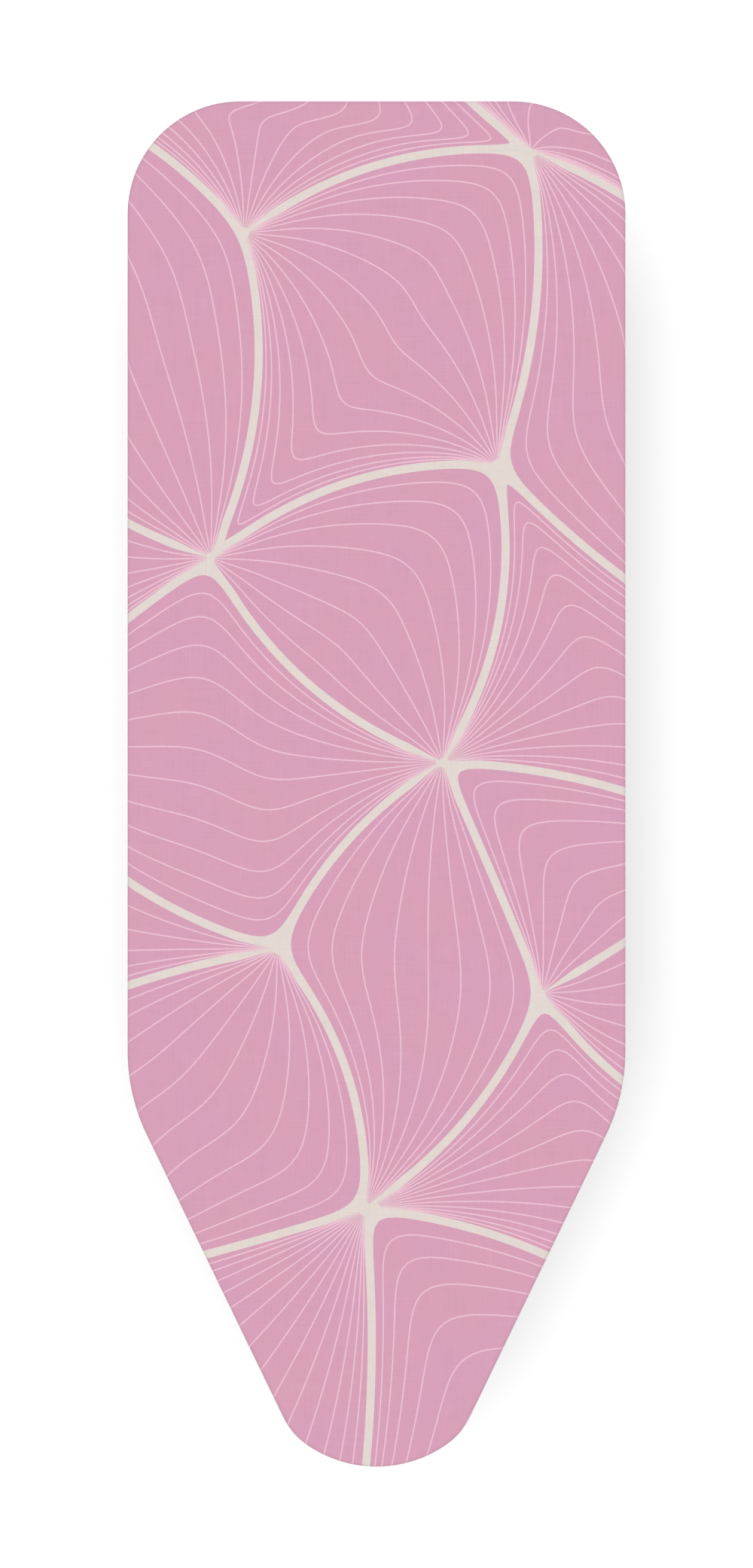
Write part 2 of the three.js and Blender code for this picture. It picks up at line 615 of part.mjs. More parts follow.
// What both legs share: side tubes with plugs, a brace, and a foot bar with its two caps.
function buildLegFrame(leg, tubeX, topHole, braceUp) {
  const frame = new THREE.Group();
  for (const [name, side] of sides) {
    const x = side * tubeX;
    addPiece(frame, `${leg}_leg_tube_${name}`, legTubeGeometry(topHole), whitePaint, x);
    addPiece(frame, `${leg}_leg_plug_${name}`, endPlugGeometry(), darkPlastic, x, 0, TUBE_OVERHANG);
    const cap = forSide(side, footCapGeometry());
    addPiece(frame, `${leg}_foot_cap_${name}`, cap, darkPlastic, side * footBarHalf, 0, -legLength);
  }
  addPiece(frame, `${leg}_leg_brace`, braceGeometry(tubeX), whitePaint, 0, 0, braceUp - legLength);
  const bar = tube(FOOT_BAR_RADIUS, FOOT_BAR_RADIUS - LEG_TUBE_WALL, -footBarHalf, footBarHalf, "x");
  addPiece(frame, `${leg}_foot_bar`, bar, whitePaint, 0, 0, -legLength);
  return frame;
}

// The front leg carries the two crossing bolts, each with its nut and the spacer between the tubes.
function buildFrontLeg() {
  const leg = buildLegFrame("front", frontTubeX, PIN_RADIUS + GAP, FRONT_BRACE_UP);
  leg.position.set(0, pivotY, pivotZ);
  leg.rotation.x = rad(LEG_ANGLE - 90);
  const reach = LEG_TUBE_RADIUS + GAP;
  const headX = frontTubeX + reach;
  const nutX = REAR_TUBE_X - reach - CROSS_NUT;
  const bolt = shaped([
    rod(PIN_RADIUS, nutX - BOLT_END, headX + 1, "x", ROUND_SIDES),
    rod(BOLT_HEAD_RADIUS, headX, headX + BOLT_HEAD, "x", HEXAGON),
  ]);
  const bore = PIN_RADIUS + GAP;
  const nut = nutGeometry(bore, BOLT_HEAD_RADIUS, CROSS_NUT, "x").translate(nutX, 0, 0);
  const spacer = tube(SPACER_RADIUS, bore, REAR_TUBE_X + reach, frontTubeX - reach, "x", ROUND_SIDES);
  for (const [name, side] of sides) {
    addPiece(leg, `cross_bolt_${name}`, forSide(side, bolt), zincSteel, 0, 0, -upperLeg);
    addPiece(leg, `cross_nut_${name}`, forSide(side, nut), zincSteel, 0, 0, -upperLeg);
    addPiece(leg, `cross_spacer_${name}`, forSide(side, spacer), darkPlastic, 0, 0, -upperLeg);
  }
  ironingBoard.add(leg);
}

// The rear leg carries the sliding shaft, its two end nuts and the outer spacers.
function buildRearLeg() {
  const leg = buildLegFrame("rear", REAR_TUBE_X, SHAFT_RADIUS + GAP, REAR_BRACE_UP);
  leg.position.set(0, slideY, pivotZ);
  leg.rotation.x = rad(90 - LEG_ANGLE);
  const reach = LEG_TUBE_RADIUS + GAP;
  const nutX = REAR_TUBE_X + reach;
  const shaftEnd = nutX + SHAFT_NUT + BOLT_END;
  const glideOuter = RAIL_X + RAIL_WALL / 2 + GAP + GLIDE_FLANGE;
  const bore = SHAFT_RADIUS + GAP;
  const spacer = tube(SPACER_RADIUS, bore, glideOuter + GAP, REAR_TUBE_X - reach, "x", ROUND_SIDES);
  const nut = tube(SPACER_RADIUS, bore, nutX, nutX + SHAFT_NUT, "x", ROUND_SIDES);
  addPiece(leg, "slide_shaft", rod(SHAFT_RADIUS, -shaftEnd, shaftEnd, "x"), zincSteel);
  for (const [name, side] of sides) {
    addPiece(leg, `outer_spacer_${name}`, forSide(side, spacer), darkPlastic);
    addPiece(leg, `shaft_nut_${name}`, forSide(side, nut), zincSteel);
  }
  ironingBoard.add(leg);
}

// The carriage block rides on the shaft and the rod; its two lugs hold the lever's pin.
function blockGeometry() {
  const plateTop = LEVER_PLATE_HEIGHT / 2 + LUG_PLAY;
  const bottom = -rodDrop - plateTop - LUG_THICKNESS;
  const body = prism([
    [-BLOCK_FRONT, bottom], [BLOCK_BACK - BLOCK_CHAMFER, bottom],
    [BLOCK_BACK, bottom + BLOCK_CHAMFER], [BLOCK_BACK, BLOCK_TOP - BLOCK_CHAMFER],
    [BLOCK_BACK - BLOCK_CHAMFER, BLOCK_TOP], [BLOCK_CHAMFER - BLOCK_FRONT, BLOCK_TOP],
    [-BLOCK_FRONT, BLOCK_TOP - BLOCK_CHAMFER],
  ], 2 * BLOCK_HALF_WIDTH);
  body.rotateX(Math.PI / 2).rotateZ(Math.PI / 2).translate(-BLOCK_HALF_WIDTH, 0, 0);
  const lug = (z) => {
    const arm = box(-LUG_RADIUS, LUG_RADIUS, -LEVER_OFFSET, 1 - BLOCK_FRONT, z, z + LUG_THICKNESS);
    const eye = rod(LUG_RADIUS, z, z + LUG_THICKNESS, "z", ROUND_SIDES).translate(0, -LEVER_OFFSET, 0);
    return shaped([arm, eye]).translate(LEVER_FULCRUM_X, 0, 0);
  };
  const reach = 2 * BLOCK_HALF_WIDTH;
  return shaped([body, lug(plateTop - rodDrop), lug(bottom)], [
    rod(SHAFT_RADIUS + GAP, -reach, reach, "x", ROUND_SIDES),
    rod(ROD_RADIUS + GAP, -reach, reach, "y", ROUND_SIDES).translate(0, 0, -rodDrop),
    rod(FINGER_BAR_RADIUS + GAP, FINGER_BAR_START, reach, "x", ROUND_SIDES)
      .translate(0, -FINGER_BAR_OFFSET, -rodDrop),
    rod(LEVER_PIN_RADIUS + GAP, -reach, reach, "z", PIN_SIDES)
      .translate(LEVER_FULCRUM_X, -LEVER_OFFSET, 0),
  ]);
}

// A glide is a flanged nylon shoe that fills the rail's slot round the shaft.
function glideGeometry() {
  const web = RAIL_WALL / 2 + GAP;
  const flange = web + GLIDE_FLANGE;
  const half = GLIDE_LENGTH / 2;
  const longer = half + GLIDE_OVERHANG;
  const rim = glideCore + GLIDE_LIP;
  return shaped([
    box(-flange, flange, -half, half, -glideCore, glideCore),
    box(web, flange, -longer, longer, -rim, rim),
    box(-flange, -web, -longer, longer, -rim, rim),
  ], [rod(SHAFT_RADIUS + GAP, -2 * flange, 2 * flange, "x", ROUND_SIDES)]);
}

// A soft grip along x with rounded ends, round a flat tang or a round bar.
function gripGeometry(core) {
  const grip = turned([
    [0, GRIP_START], [GRIP_RADIUS * 0.7, GRIP_START], [GRIP_RADIUS, GRIP_START + GRIP_ROUNDING],
    [GRIP_RADIUS, GRIP_END - GRIP_ROUNDING], [GRIP_RADIUS * 0.7, GRIP_END - 1], [0, GRIP_END],
  ], "x", ROUND_SIDES);
  return shaped([grip], [core]);
}

const tangEnd = GRIP_END - TANG_SETBACK;

function fingerBarGeometry() {
  return rod(FINGER_BAR_RADIUS, FINGER_BAR_START + GAP, tangEnd, "x", ROUND_SIDES);
}

// The lever's pin has a low head on top.
function leverPinGeometry() {
  const half = LEVER_PLATE_HEIGHT / 2 + LEVER_PIN_SPARE;
  return turned([
    [0, -half], [LEVER_PIN_RADIUS, -half], [LEVER_PIN_RADIUS, half],
    [LEVER_PIN_HEAD_RADIUS, half], [LEVER_PIN_HEAD_RADIUS, half + LEVER_PIN_HEAD / 2],
    [LEVER_PIN_HEAD_RADIUS - LEVER_PIN_HEAD, half + LEVER_PIN_HEAD], [0, half + LEVER_PIN_HEAD],
  ], "z", PIN_SIDES);
}

// The carriage slides along the rails with the shaft.
function buildCarriage() {
  const carriage = new THREE.Group();
  carriage.position.set(0, slideY, pivotZ);
  addPiece(carriage, "carriage_block", blockGeometry(), darkPlastic);
  const from = BLOCK_HALF_WIDTH + GAP;
  const to = RAIL_X - RAIL_WALL / 2 - GAP - GLIDE_FLANGE - GAP;
  for (const [name, side] of sides) {
    addPiece(carriage, `rail_glide_${name}`, glideGeometry(), darkPlastic, side * RAIL_X);
    const spacer = tube(SPACER_RADIUS, SHAFT_RADIUS + GAP, from, to, "x", ROUND_SIDES);
    addPiece(carriage, `inner_spacer_${name}`, forSide(side, spacer), darkPlastic);
  }
  const barY = -FINGER_BAR_OFFSET;
  const barHole = rod(FINGER_BAR_RADIUS + GAP, 0, tangEnd + GAP, "x", ROUND_SIDES);
  addPiece(carriage, "finger_bar", fingerBarGeometry(), zincSteel, 0, barY, -rodDrop);
  addPiece(carriage, "finger_bar_grip", gripGeometry(barHole), darkPlastic, 0, barY, -rodDrop);
  const pin = leverPinGeometry();
  addPiece(carriage, "lever_pin", pin, zincSteel, LEVER_FULCRUM_X, -LEVER_OFFSET, -rodDrop);
  ironingBoard.add(carriage);
}

// The clamp lever: a plate with a barrel on the pin, a hole round the rod, and an arm to the side.
function leverGeometry() {
  const half = LEVER_WALL / 2;
  const high = LEVER_PLATE_HEIGHT / 2;
  const arm = LEVER_ARM_HEIGHT / 2;
  const barrel = rod(LEVER_BARREL_RADIUS, -high, high, "z", ROUND_SIDES).translate(LEVER_FULCRUM_X, 0, 0);
  const plate = box(LEVER_FULCRUM_X, LEVER_ARM_START, -half, half, -high, high);
  const bar = box(LEVER_ARM_START - 2, tangEnd, -half, half, -arm, arm);
  return shaped([plate, barrel, bar], [
    rod(ROD_RADIUS + LEVER_ROD_PLAY, -2 * LEVER_WALL, 2 * LEVER_WALL, "y"),
    rod(LEVER_PIN_RADIUS + GAP, -2 * high, 2 * high, "z", PIN_SIDES).translate(LEVER_FULCRUM_X, 0, 0),
  ]);
}

// The spring between block and lever is a round wire wound about the rod.
class Helix extends THREE.Curve {
  constructor(length) {
    super();
    this.length = length;
  }
  getPoint(t, target = new THREE.Vector3()) {
    const angle = 2 * Math.PI * SPRING_TURNS * t;
    return target.set(SPRING_RADIUS * Math.cos(angle), this.length * t, SPRING_RADIUS * Math.sin(angle));
  }
}

function springGeometry(length) {
  const wire = new THREE.Shape(Array.from({ length: 6 }, (_, i) => {
    const angle = (i * Math.PI) / 3;
    return new THREE.Vector2(SPRING_WIRE * Math.cos(angle), SPRING_WIRE * Math.sin(angle));
  }));
  const steps = Math.ceil(SPRING_TURNS * 14);
  return new THREE.ExtrudeGeometry(wire, { steps, extrudePath: new Helix(length), bevelEnabled: false });
}

function buildLever() {
  const lever = new THREE.Group();
  lever.position.set(0, leverY, rodZ);
  addPiece(lever, "clamp_lever", leverGeometry(), zincSteel);
  const arm = LEVER_ARM_HEIGHT / 2 + GAP;
  const wall = LEVER_WALL / 2 + GAP;
  const tang = box(0, tangEnd + GAP, -wall, wall, -arm, arm);
  addPiece(lever, "lever_grip", gripGeometry(tang), darkPlastic);
  const seat = LEVER_WALL / 2 + SPRING_WIRE + GAP;
  const length = LEVER_OFFSET - BLOCK_FRONT - seat - SPRING_WIRE - GAP;
  addPiece(lever, "lever_spring", springGeometry(length), zincSteel, 0, seat, 0);
  ironingBoard.add(lever);
}

buildTop();
buildFrontLeg();
buildRearLeg();
buildCarriage();
buildLever();

export default ironingBoard;
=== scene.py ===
"""The looks of a folding ironing board: printed cotton cover, foam pad, expanded mesh top and painted legs.

Laid out as an add-on, with one operator for each group of pieces. Everything is in metres, +Z up. The
board's tapered nose points along -Y and the origin is on the floor under its middle.
"""
import json
import math

import bmesh
import bpy
import numpy as np
from mathutils import Matrix, Vector, geometry

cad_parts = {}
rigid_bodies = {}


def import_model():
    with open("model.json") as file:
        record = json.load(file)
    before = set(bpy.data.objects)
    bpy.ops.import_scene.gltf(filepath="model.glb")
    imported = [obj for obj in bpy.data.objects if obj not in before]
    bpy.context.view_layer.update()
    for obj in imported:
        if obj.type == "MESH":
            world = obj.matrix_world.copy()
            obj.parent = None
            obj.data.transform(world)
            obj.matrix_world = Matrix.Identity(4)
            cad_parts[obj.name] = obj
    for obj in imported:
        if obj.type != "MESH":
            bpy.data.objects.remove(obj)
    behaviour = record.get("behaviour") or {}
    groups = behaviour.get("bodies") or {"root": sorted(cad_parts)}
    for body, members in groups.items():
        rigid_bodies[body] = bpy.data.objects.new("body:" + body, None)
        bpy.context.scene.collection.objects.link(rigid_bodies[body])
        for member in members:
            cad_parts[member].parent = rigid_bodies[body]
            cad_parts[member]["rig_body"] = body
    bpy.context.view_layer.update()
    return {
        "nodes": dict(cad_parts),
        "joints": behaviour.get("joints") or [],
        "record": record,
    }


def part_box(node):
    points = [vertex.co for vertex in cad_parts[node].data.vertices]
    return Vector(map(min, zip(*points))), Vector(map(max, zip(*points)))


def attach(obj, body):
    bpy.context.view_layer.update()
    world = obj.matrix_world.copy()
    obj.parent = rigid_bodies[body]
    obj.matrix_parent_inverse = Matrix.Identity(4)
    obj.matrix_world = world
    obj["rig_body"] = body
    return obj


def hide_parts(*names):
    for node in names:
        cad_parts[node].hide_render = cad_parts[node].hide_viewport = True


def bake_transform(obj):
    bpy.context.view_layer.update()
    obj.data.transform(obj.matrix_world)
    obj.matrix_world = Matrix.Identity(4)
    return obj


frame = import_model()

bl_info = {
    "name": "Ironing Board",
    "version": (1, 0, 0),
    "blender": (4, 5, 0),
    "location": "3D View > Sidebar > Ironing Board",
    "description": "Builds the looks of a folding ironing board round its packed frame",
    "category": "Object",
}

MM = 0.001
CLEARANCE = 0.3 * MM
SIDES = {"left": -1, "right": 1}
UP = Vector((0, 0, 1))
HINGES = {joint["name"]: Vector(joint["pos_m"]) for joint in frame["joints"]}


# ---------------------------------------------------------------- settings

def length(name, description, default):
    return bpy.props.FloatProperty(
        name=name, description=description, default=default, min=0, unit="LENGTH", precision=4)


def angle(name, description, default):
    return bpy.props.FloatProperty(name=name, description=description, default=default, unit="ROTATION")


def strength(name, description, default):
    return bpy.props.FloatProperty(name=name, description=description, default=default, min=0)


def colour(name, description, default):
    return bpy.props.FloatVectorProperty(
        name=name, description=description, default=default, min=0, max=1, size=3, subtype="COLOR")


class CoverSettings(bpy.types.PropertyGroup):
    """The plan of the board and the cloth stretched over it"""

    tail_corner_radius: length("Tail corner", "Radius of the tail's two corners", 0.102)
    nose_length: length("Nose length", "Nose edge to where the shoulders start", 0.377)
    shoulder_radius: length("Shoulder", "Radius where the straight sides turn in", 0.173)
    nose_radius: length("Nose", "Radius of the nose's blunt tip", 0.111)
    nose_blend_radius: length("Nose blend", "Radius between the tip and the taper", 0.064)
    nose_arc_half_angle: angle("Nose tip angle", "Half the angle that the tip's arc covers", math.radians(35))
    edge_radius: length("Edge radius", "Rounding of the cloth over the board's top edge", 0.004)
    fold_radius: length("Fold radius", "Rounding of the cloth under the rim", 0.003)
    hem_inset: length("Hem inset", "Board edge to the middle of the hem", 0.033)
    hem_radius: length("Hem radius", "Outside of the rolled hem", 0.0038)
    gather: length("Gather", "How far the elastic puckers the skirt", 0.0042)
    elastic_radius: length("Elastic", "Radius of the elastic cord", 0.0016)
    stitch_pitch: length("Stitch pitch", "Start of one hem stitch to the next", 0.0065)
    stitch_length: length("Stitch length", "Length of a hem stitch", 0.0046)
    thread_radius: length("Thread", "Radius of the sewing thread", 0.00035)
    vein_width: length("Vein width", "Width of the bold printed lines", 0.0074)
    line_width: length("Line width", "Width of the fine printed lines", 0.0012)
    line_crowding: bpy.props.FloatProperty(
        name="Line crowding", description="How much the fine lines crowd towards the veins",
        default=0.55, min=0, max=1, subtype="FACTOR")
    line_spacing: length("Line spacing", "Fine lines' distance at a cell's widest place", 0.026)
    corner_softness: length("Corner softness", "How widely the print's corners are rounded", 0.021)
    ground_colour: colour("Ground", "Dyed ground of the print", (0.565, 0.285, 0.395))
    line_colour: colour("Fine lines", "Ink of the fine lines", (0.70, 0.44, 0.535))
    vein_colour: colour("Veins", "Ink of the bold lines", (0.635, 0.565, 0.53))


class FrameSettings(bpy.types.PropertyGroup):
    """Sizes and finishes of what is under the cover"""

    mesh_pitch_x: length("Mesh pitch across", "Distance of two diamonds across the board", 0.030)
    mesh_pitch_y: length("Mesh pitch along", "Distance of two diamonds along the board", 0.014)
    strand_width: length("Strand width", "Width of the mesh's strands", 0.0022)
    mesh_border: length("Mesh border", "Plain edge of the mesh on the rim", 0.012)
    rim_width: length("Rim width", "Width of the rim's channel", 0.009)
    rim_wall: length("Rim wall", "Sheet of the rim", 0.0009)
    rim_rounding: length("Rim rounding", "Radius of the rim's two folds", 0.002)
    pad_rounding: length("Pad rounding", "Rounding of the foam's edge", 0.0025)
    strand_thickness: length("Strand thickness", "Thickness of the mesh's strands", 0.0005)
    strand_tilt: angle("Strand tilt", "How far the press turns each strand", 0.22)
    tube_wall: length("Tube wall", "Wall of the leg tubes and foot bars", 0.001)
    weld_radius: length("Weld radius", "Thickness of a weld bead", 0.0016)
    weld_ripple: length("Weld ripple", "Distance of two ripples of a bead", 0.0024)
    edge_rounding: length("Edge rounding", "Rounding of moulded and turned edges", 0.0008)
    sheet_rounding: length("Sheet rounding", "Rounding of sheet-metal edges", 0.0003)
    bolt_radius: length("Bolt", "Radius of the crossing bolts", 0.004)
    bolt_corner: length("Bolt head", "Middle to corner of the crossing bolts' heads and nuts", 0.007)
    bolt_head: length("Bolt head height", "Height of the crossing bolts' heads", 0.0055)
    rivet_head: length("Rivet head", "Height of the rivets' heads", 0.0028)
    rod_nut_corner: length("Rod nut", "Middle to corner of the lock rod's nuts", 0.009)
    lever_pin_radius: length("Lever pin", "Radius of the lever's pin", 0.0025)
    thread_length: length("Thread length", "Length of the lock rod's threaded ends", 0.012)
    thread_depth: length("Thread depth", "Depth of the lock rod's thread", 0.00045)
    thread_pitch: length("Thread pitch", "Pitch of the lock rod's threaded ends", 0.0015)
    spring_wire: length("Spring wire", "Radius of the lever spring's wire", 0.0008)
    spring_turns: bpy.props.IntProperty(
        name="Spring turns", description="Turns of the lever's spring", default=5, min=2)
    cap_dome: length("Foot cap dome", "Length of a foot cap's rounded end", 0.012)
    cap_groove: length("Foot cap grooves", "Distance of the grooves round a foot cap", 0.004)
    grip_rounding: length("Grip rounding", "Length of a grip's rounded ends", 0.005)
    grip_ridge: length("Grip ridges", "Distance of two ridges on a grip", 0.006)
    paint_colour: colour("Paint", "Powder coat of the frame and legs", (0.79, 0.78, 0.74))
    plastic_colour: colour("Plastic", "Feet, plugs, carriage and grips", (0.045, 0.05, 0.057))
    zinc_colour: colour("Zinc", "Bolts, shafts and the lever", (0.60, 0.61, 0.63))
    mesh_colour: colour("Mesh", "Galvanised mesh", (0.52, 0.54, 0.55))
    foam_colour: colour("Foam", "Foam under the cover", (0.48, 0.50, 0.53))
    elastic_colour: colour("Elastic", "Elastic cord and sewing thread", (0.81, 0.79, 0.74))


class StageSettings(bpy.types.PropertyGroup):
    """Camera, floor and light"""

    view_height: length("View height", "Height of the picture at the cover's level", 1.4231)
    camera_distance: length("Camera distance", "Camera to the cover", 6.0)
    floor_colour: colour("Floor", "Pale floor", (0.92, 0.92, 0.92))
    sky_strength: strength("Sky", "Strength of the even light all round", 0.5)
    key_strength: strength("Key light", "Strength of the soft light from above", 2.2)
    key_softness: angle("Key softness", "Angle that the key light covers", math.radians(14))


def cover_settings():
    return bpy.context.scene.ironing_cover


def frame_settings():
    return bpy.context.scene.ironing_frame


def stage_settings():
    return bpy.context.scene.ironing_stage


# ---------------------------------------------------------------- materials

def tinted(base, *shares):
    """A colour with its three channels scaled by one share, or by a share each."""
    if len(shares) == 1:
        shares *= 3
    return tuple(min(1, channel * share) for channel, share in zip(base, shares))


class Shader:
    """A material's node tree with short ways to add and link nodes."""

    def __init__(self, name, base, roughness, metallic=0.0):
        self.material = bpy.data.materials.new(name)
        self.material.use_nodes = True
        self.material.diffuse_color = (*base, 1)
        self.tree = self.material.node_tree
        self.surface = self.tree.nodes["Principled BSDF"]
        self.set("Base Color", (*base, 1))
        self.set("Roughness", roughness)
        self.set("Metallic", metallic)

    def set(self, socket, value):
        self.surface.inputs[socket].default_value = value

    def node(self, kind, inputs=None, **settings):
        node = self.tree.nodes.new(kind)
        for name, value in settings.items():
            setattr(node, name, value)
        for socket, value in (inputs or {}).items():
            if isinstance(value, bpy.types.NodeSocket):
                self.tree.links.new(value, node.inputs[socket])
            else:
                node.inputs[socket].default_value = value
        return node

    def place(self, scale=(1, 1, 1), uv=None):
        """A point's coordinates on the piece, or on the flat cloth where uv names its map, times scale."""
        if uv:
            source = self.node("ShaderNodeUVMap", uv_map=uv).outputs["UV"]
        else:
            source = self.node("ShaderNodeTexCoord").outputs["Object"]
        return self.node("ShaderNodeMapping", {"Vector": source, "Scale": scale}).outputs["Vector"]

    def noise(self, place, scale, detail=2.0, roughness=0.5):
        inputs = {"Vector": place, "Scale": scale, "Detail": detail, "Roughness": roughness}
        return self.node("ShaderNodeTexNoise", inputs).outputs["Fac"]

    def span(self, value, low, high, from_low=0.0, from_high=1.0):
        limits = {"From Min": from_low, "From Max": from_high, "To Min": low, "To Max": high}
        return self.node("ShaderNodeMapRange", {"Value": value, **limits}, clamp=True).outputs["Result"]

    def math(self, operation, a, b):
        return self.node("ShaderNodeMath", {0: a, 1: b}, operation=operation).outputs[0]

    def mix(self, factor, a, b, blend="MIX"):
        node = self.node("ShaderNodeMix", data_type="RGBA", blend_type=blend)
        for socket, value in ((0, factor), (6, a), (7, b)):
            if isinstance(value, bpy.types.NodeSocket):
                self.tree.links.new(value, node.inputs[socket])
            else:
                node.inputs[socket].default_value = value if socket == 0 else (*value[:3], 1)
        return node.outputs[2]

    def link(self, output, socket):
        self.tree.links.new(output, self.surface.inputs[socket])

    def vary(self, value, low, high, first, second):
        """Takes the base colour from the first to the second as a value goes from low to high."""
        self.link(self.mix(self.span(value, 0, 1, low, high), first, second), "Base Color")

    def bump(self, height, strength, distance, under=None):
        inputs = {"Height": height, "Strength": strength, "Distance": distance}
        if under:
            inputs["Normal"] = under
        return self.node("ShaderNodeBump", inputs).outputs["Normal"]


def printed_cotton(s):
    """Plain-weave cotton with a dyed ground, slubs in its threads and two inks."""
    shader = Shader("printed_cotton", s.ground_colour, 0.86)
    cloth = shader.place(uv="Cloth")
    clouds = shader.noise(cloth, 14, 3)
    mottle = shader.noise(cloth, 70, 4, 0.6)
    warp = shader.noise(shader.place((1400, 22, 1), uv="Cloth"), 1, 2)
    weft = shader.noise(shader.place((22, 1400, 1), uv="Cloth"), 1, 2)
    threads = shader.math("ADD", warp, weft)
    warm, cool = tinted(s.ground_colour, 1.01, 1.0, 0.98), tinted(s.ground_colour, 1.0, 0.995, 1.025)
    ground = shader.mix(shader.span(clouds, 0, 1, 0.35, 0.65), warm, cool)
    ink = shader.node("ShaderNodeAttribute", attribute_name="print").outputs["Fac"]
    lined = shader.mix(shader.span(ink, 0, 1, 0, 0.5), ground, s.line_colour)
    inked = shader.mix(shader.span(ink, 0, 1, 0.5, 1), lined, s.vein_colour)
    uneven = shader.span(mottle, -0.02, 0.02, 0.3, 0.7)
    value = shader.math("ADD", uneven, shader.span(threads, 0.945, 1.055, 0.6, 1.4))
    grey = shader.node("ShaderNodeCombineColor", {"Red": value, "Green": value, "Blue": value})
    shader.link(shader.mix(1.0, inked, grey.outputs["Color"], "MULTIPLY"), "Base Color")
    shader.link(shader.span(mottle, 0.8, 0.92), "Roughness")
    weave = [shader.node("ShaderNodeTexWave", {"Vector": cloth, "Scale": 420.0}, bands_direction=direction)
             for direction in "XY"]
    ribbing = shader.bump(shader.math("MAXIMUM", *(wave.outputs["Fac"] for wave in weave)), 0.22, 0.00012)
    shader.link(shader.bump(threads, 0.12, 0.0004, ribbing), "Normal")
    shader.set("Sheen Weight", 0.18)
    shader.set("Sheen Roughness", 0.45)
    return shader.material


def powder_coat(s):
    """Off-white powder coat with its fine orange peel."""
    shader = Shader("powder_coat", s.paint_colour, 0.36)
    place = shader.place()
    worn = tinted(s.paint_colour, 0.95, 0.94, 0.91)
    shader.vary(shader.noise(place, 9, 3), 0.3, 0.7, tinted(s.paint_colour, 1.03), worn)
    shader.link(shader.span(shader.noise(place, 38, 4), 0.28, 0.46, 0.3, 0.7), "Roughness")
    shader.link(shader.bump(shader.noise(place, 620, 2), 0.16, 0.0003), "Normal")
    shader.set("Coat Weight", 0.15)
    shader.set("Coat Roughness", 0.2)
    return shader.material


def moulded_plastic(s):
    """Dark plastic with a fine moulded grain."""
    shader = Shader("moulded_plastic", s.plastic_colour, 0.5)
    place = shader.place()
    scuffs = shader.noise(place, 60, 5, 0.65)
    shader.vary(scuffs, 0.45, 0.8, s.plastic_colour, tinted(s.plastic_colour, 1.5))
    shader.link(shader.span(scuffs, 0.42, 0.62), "Roughness")
    shader.link(shader.bump(shader.noise(place, 1500, 3), 0.3, 0.0002), "Normal")
    return shader.material


def zinc_plate(s):
    """Bright zinc plate with drawn streaks and a faint warm and cool cast."""
    shader = Shader("zinc_plate", s.zinc_colour, 0.28, 1.0)
    streaks = shader.noise(shader.place((1, 14, 14)), 90, 3)
    cool, warm = tinted(s.zinc_colour, 0.95, 0.99, 1.06), tinted(s.zinc_colour, 1.04, 1.0, 0.92)
    shader.vary(shader.noise(shader.place(), 55, 2), 0.35, 0.65, cool, warm)
    shader.link(shader.span(streaks, 0.2, 0.4, 0.3, 0.7), "Roughness")
    shader.link(shader.bump(streaks, 0.1, 0.0002), "Normal")
    return shader.material


def galvanised(s):
    """Hot-dip galvanising with its crystal spangle."""
    shader = Shader("galvanised", s.mesh_colour, 0.4, 0.9)
    place = shader.place()
    spangle = shader.node("ShaderNodeTexVoronoi", {"Vector": place, "Scale": 160.0}).outputs["Color"]
    grey = shader.node("ShaderNodeSeparateColor", {"Color": spangle}).outputs["Red"]
    shader.link(shader.mix(grey, tinted(s.mesh_colour, 0.8), tinted(s.mesh_colour, 1.15)), "Base Color")
    shader.link(shader.span(grey, 0.3, 0.5), "Roughness")
    shader.link(shader.bump(shader.noise(place, 400, 3), 0.12, 0.0003), "Normal")
    return shader.material


def open_foam(s):
    """Open-cell foam."""
    shader = Shader("open_foam", s.foam_colour, 0.95)
    voronoi = shader.node("ShaderNodeTexVoronoi", {"Vector": shader.place(), "Scale": 900.0})
    cells = voronoi.outputs["Distance"]
    shader.vary(cells, 0.1, 0.6, s.foam_colour, tinted(s.foam_colour, 0.7))
    shader.link(shader.bump(cells, 0.5, 0.0005), "Normal")
    return shader.material


def braided_thread(s):
    """Off-white braid, for the elastic and the stitches."""
    shader = Shader("braided_thread", s.elastic_colour, 0.8)
    braid = shader.noise(shader.place(), 900, 2)
    shader.vary(braid, 0.35, 0.65, s.elastic_colour, tinted(s.elastic_colour, 0.82))
    shader.link(shader.bump(braid, 0.4, 0.0004), "Normal")
    return shader.material


FINISHES = {
    "cover_cotton": (printed_cotton, cover_settings),
    "elastic": (braided_thread, frame_settings),
    "foam": (open_foam, frame_settings),
    "mesh_steel": (galvanised, frame_settings),
    "white_paint": (powder_coat, frame_settings),
    "zinc_steel": (zinc_plate, frame_settings),
    "dark_plastic": (moulded_plastic, frame_settings),
}
made_finishes = {}


def finish(slot):
    """The material of a slot, made when a piece first asks for it."""
    if slot not in made_finishes:
        make, settings = FINISHES[slot]
        made_finishes[slot] = make(settings())
    return made_finishes[slot]


# ---------------------------------------------------------------- making pieces

def add_object(name, data):
    """A new object in the scene."""
    made = bpy.data.objects.new(name, data)
    bpy.context.scene.collection.objects.link(made)
    return made


def new_piece(name, vertices, faces, body, slot, replaces=(), smooth=True):
    """A piece of one finish that stands for the CAD nodes it replaces. It rides on a body if one is given."""
    mesh = bpy.data.meshes.new(name)
    mesh.from_pydata([tuple(v) for v in vertices], [], [tuple(int(i) for i in f) for f in faces])
    mesh.validate()
    mesh.update()
    mesh.shade_smooth() if smooth else mesh.shade_flat()
    piece = add_object(name, mesh)
    mesh.materials.append(finish(slot))
    if body:
        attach(piece, body)
    if replaces:
        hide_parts(*replaces)
    return piece


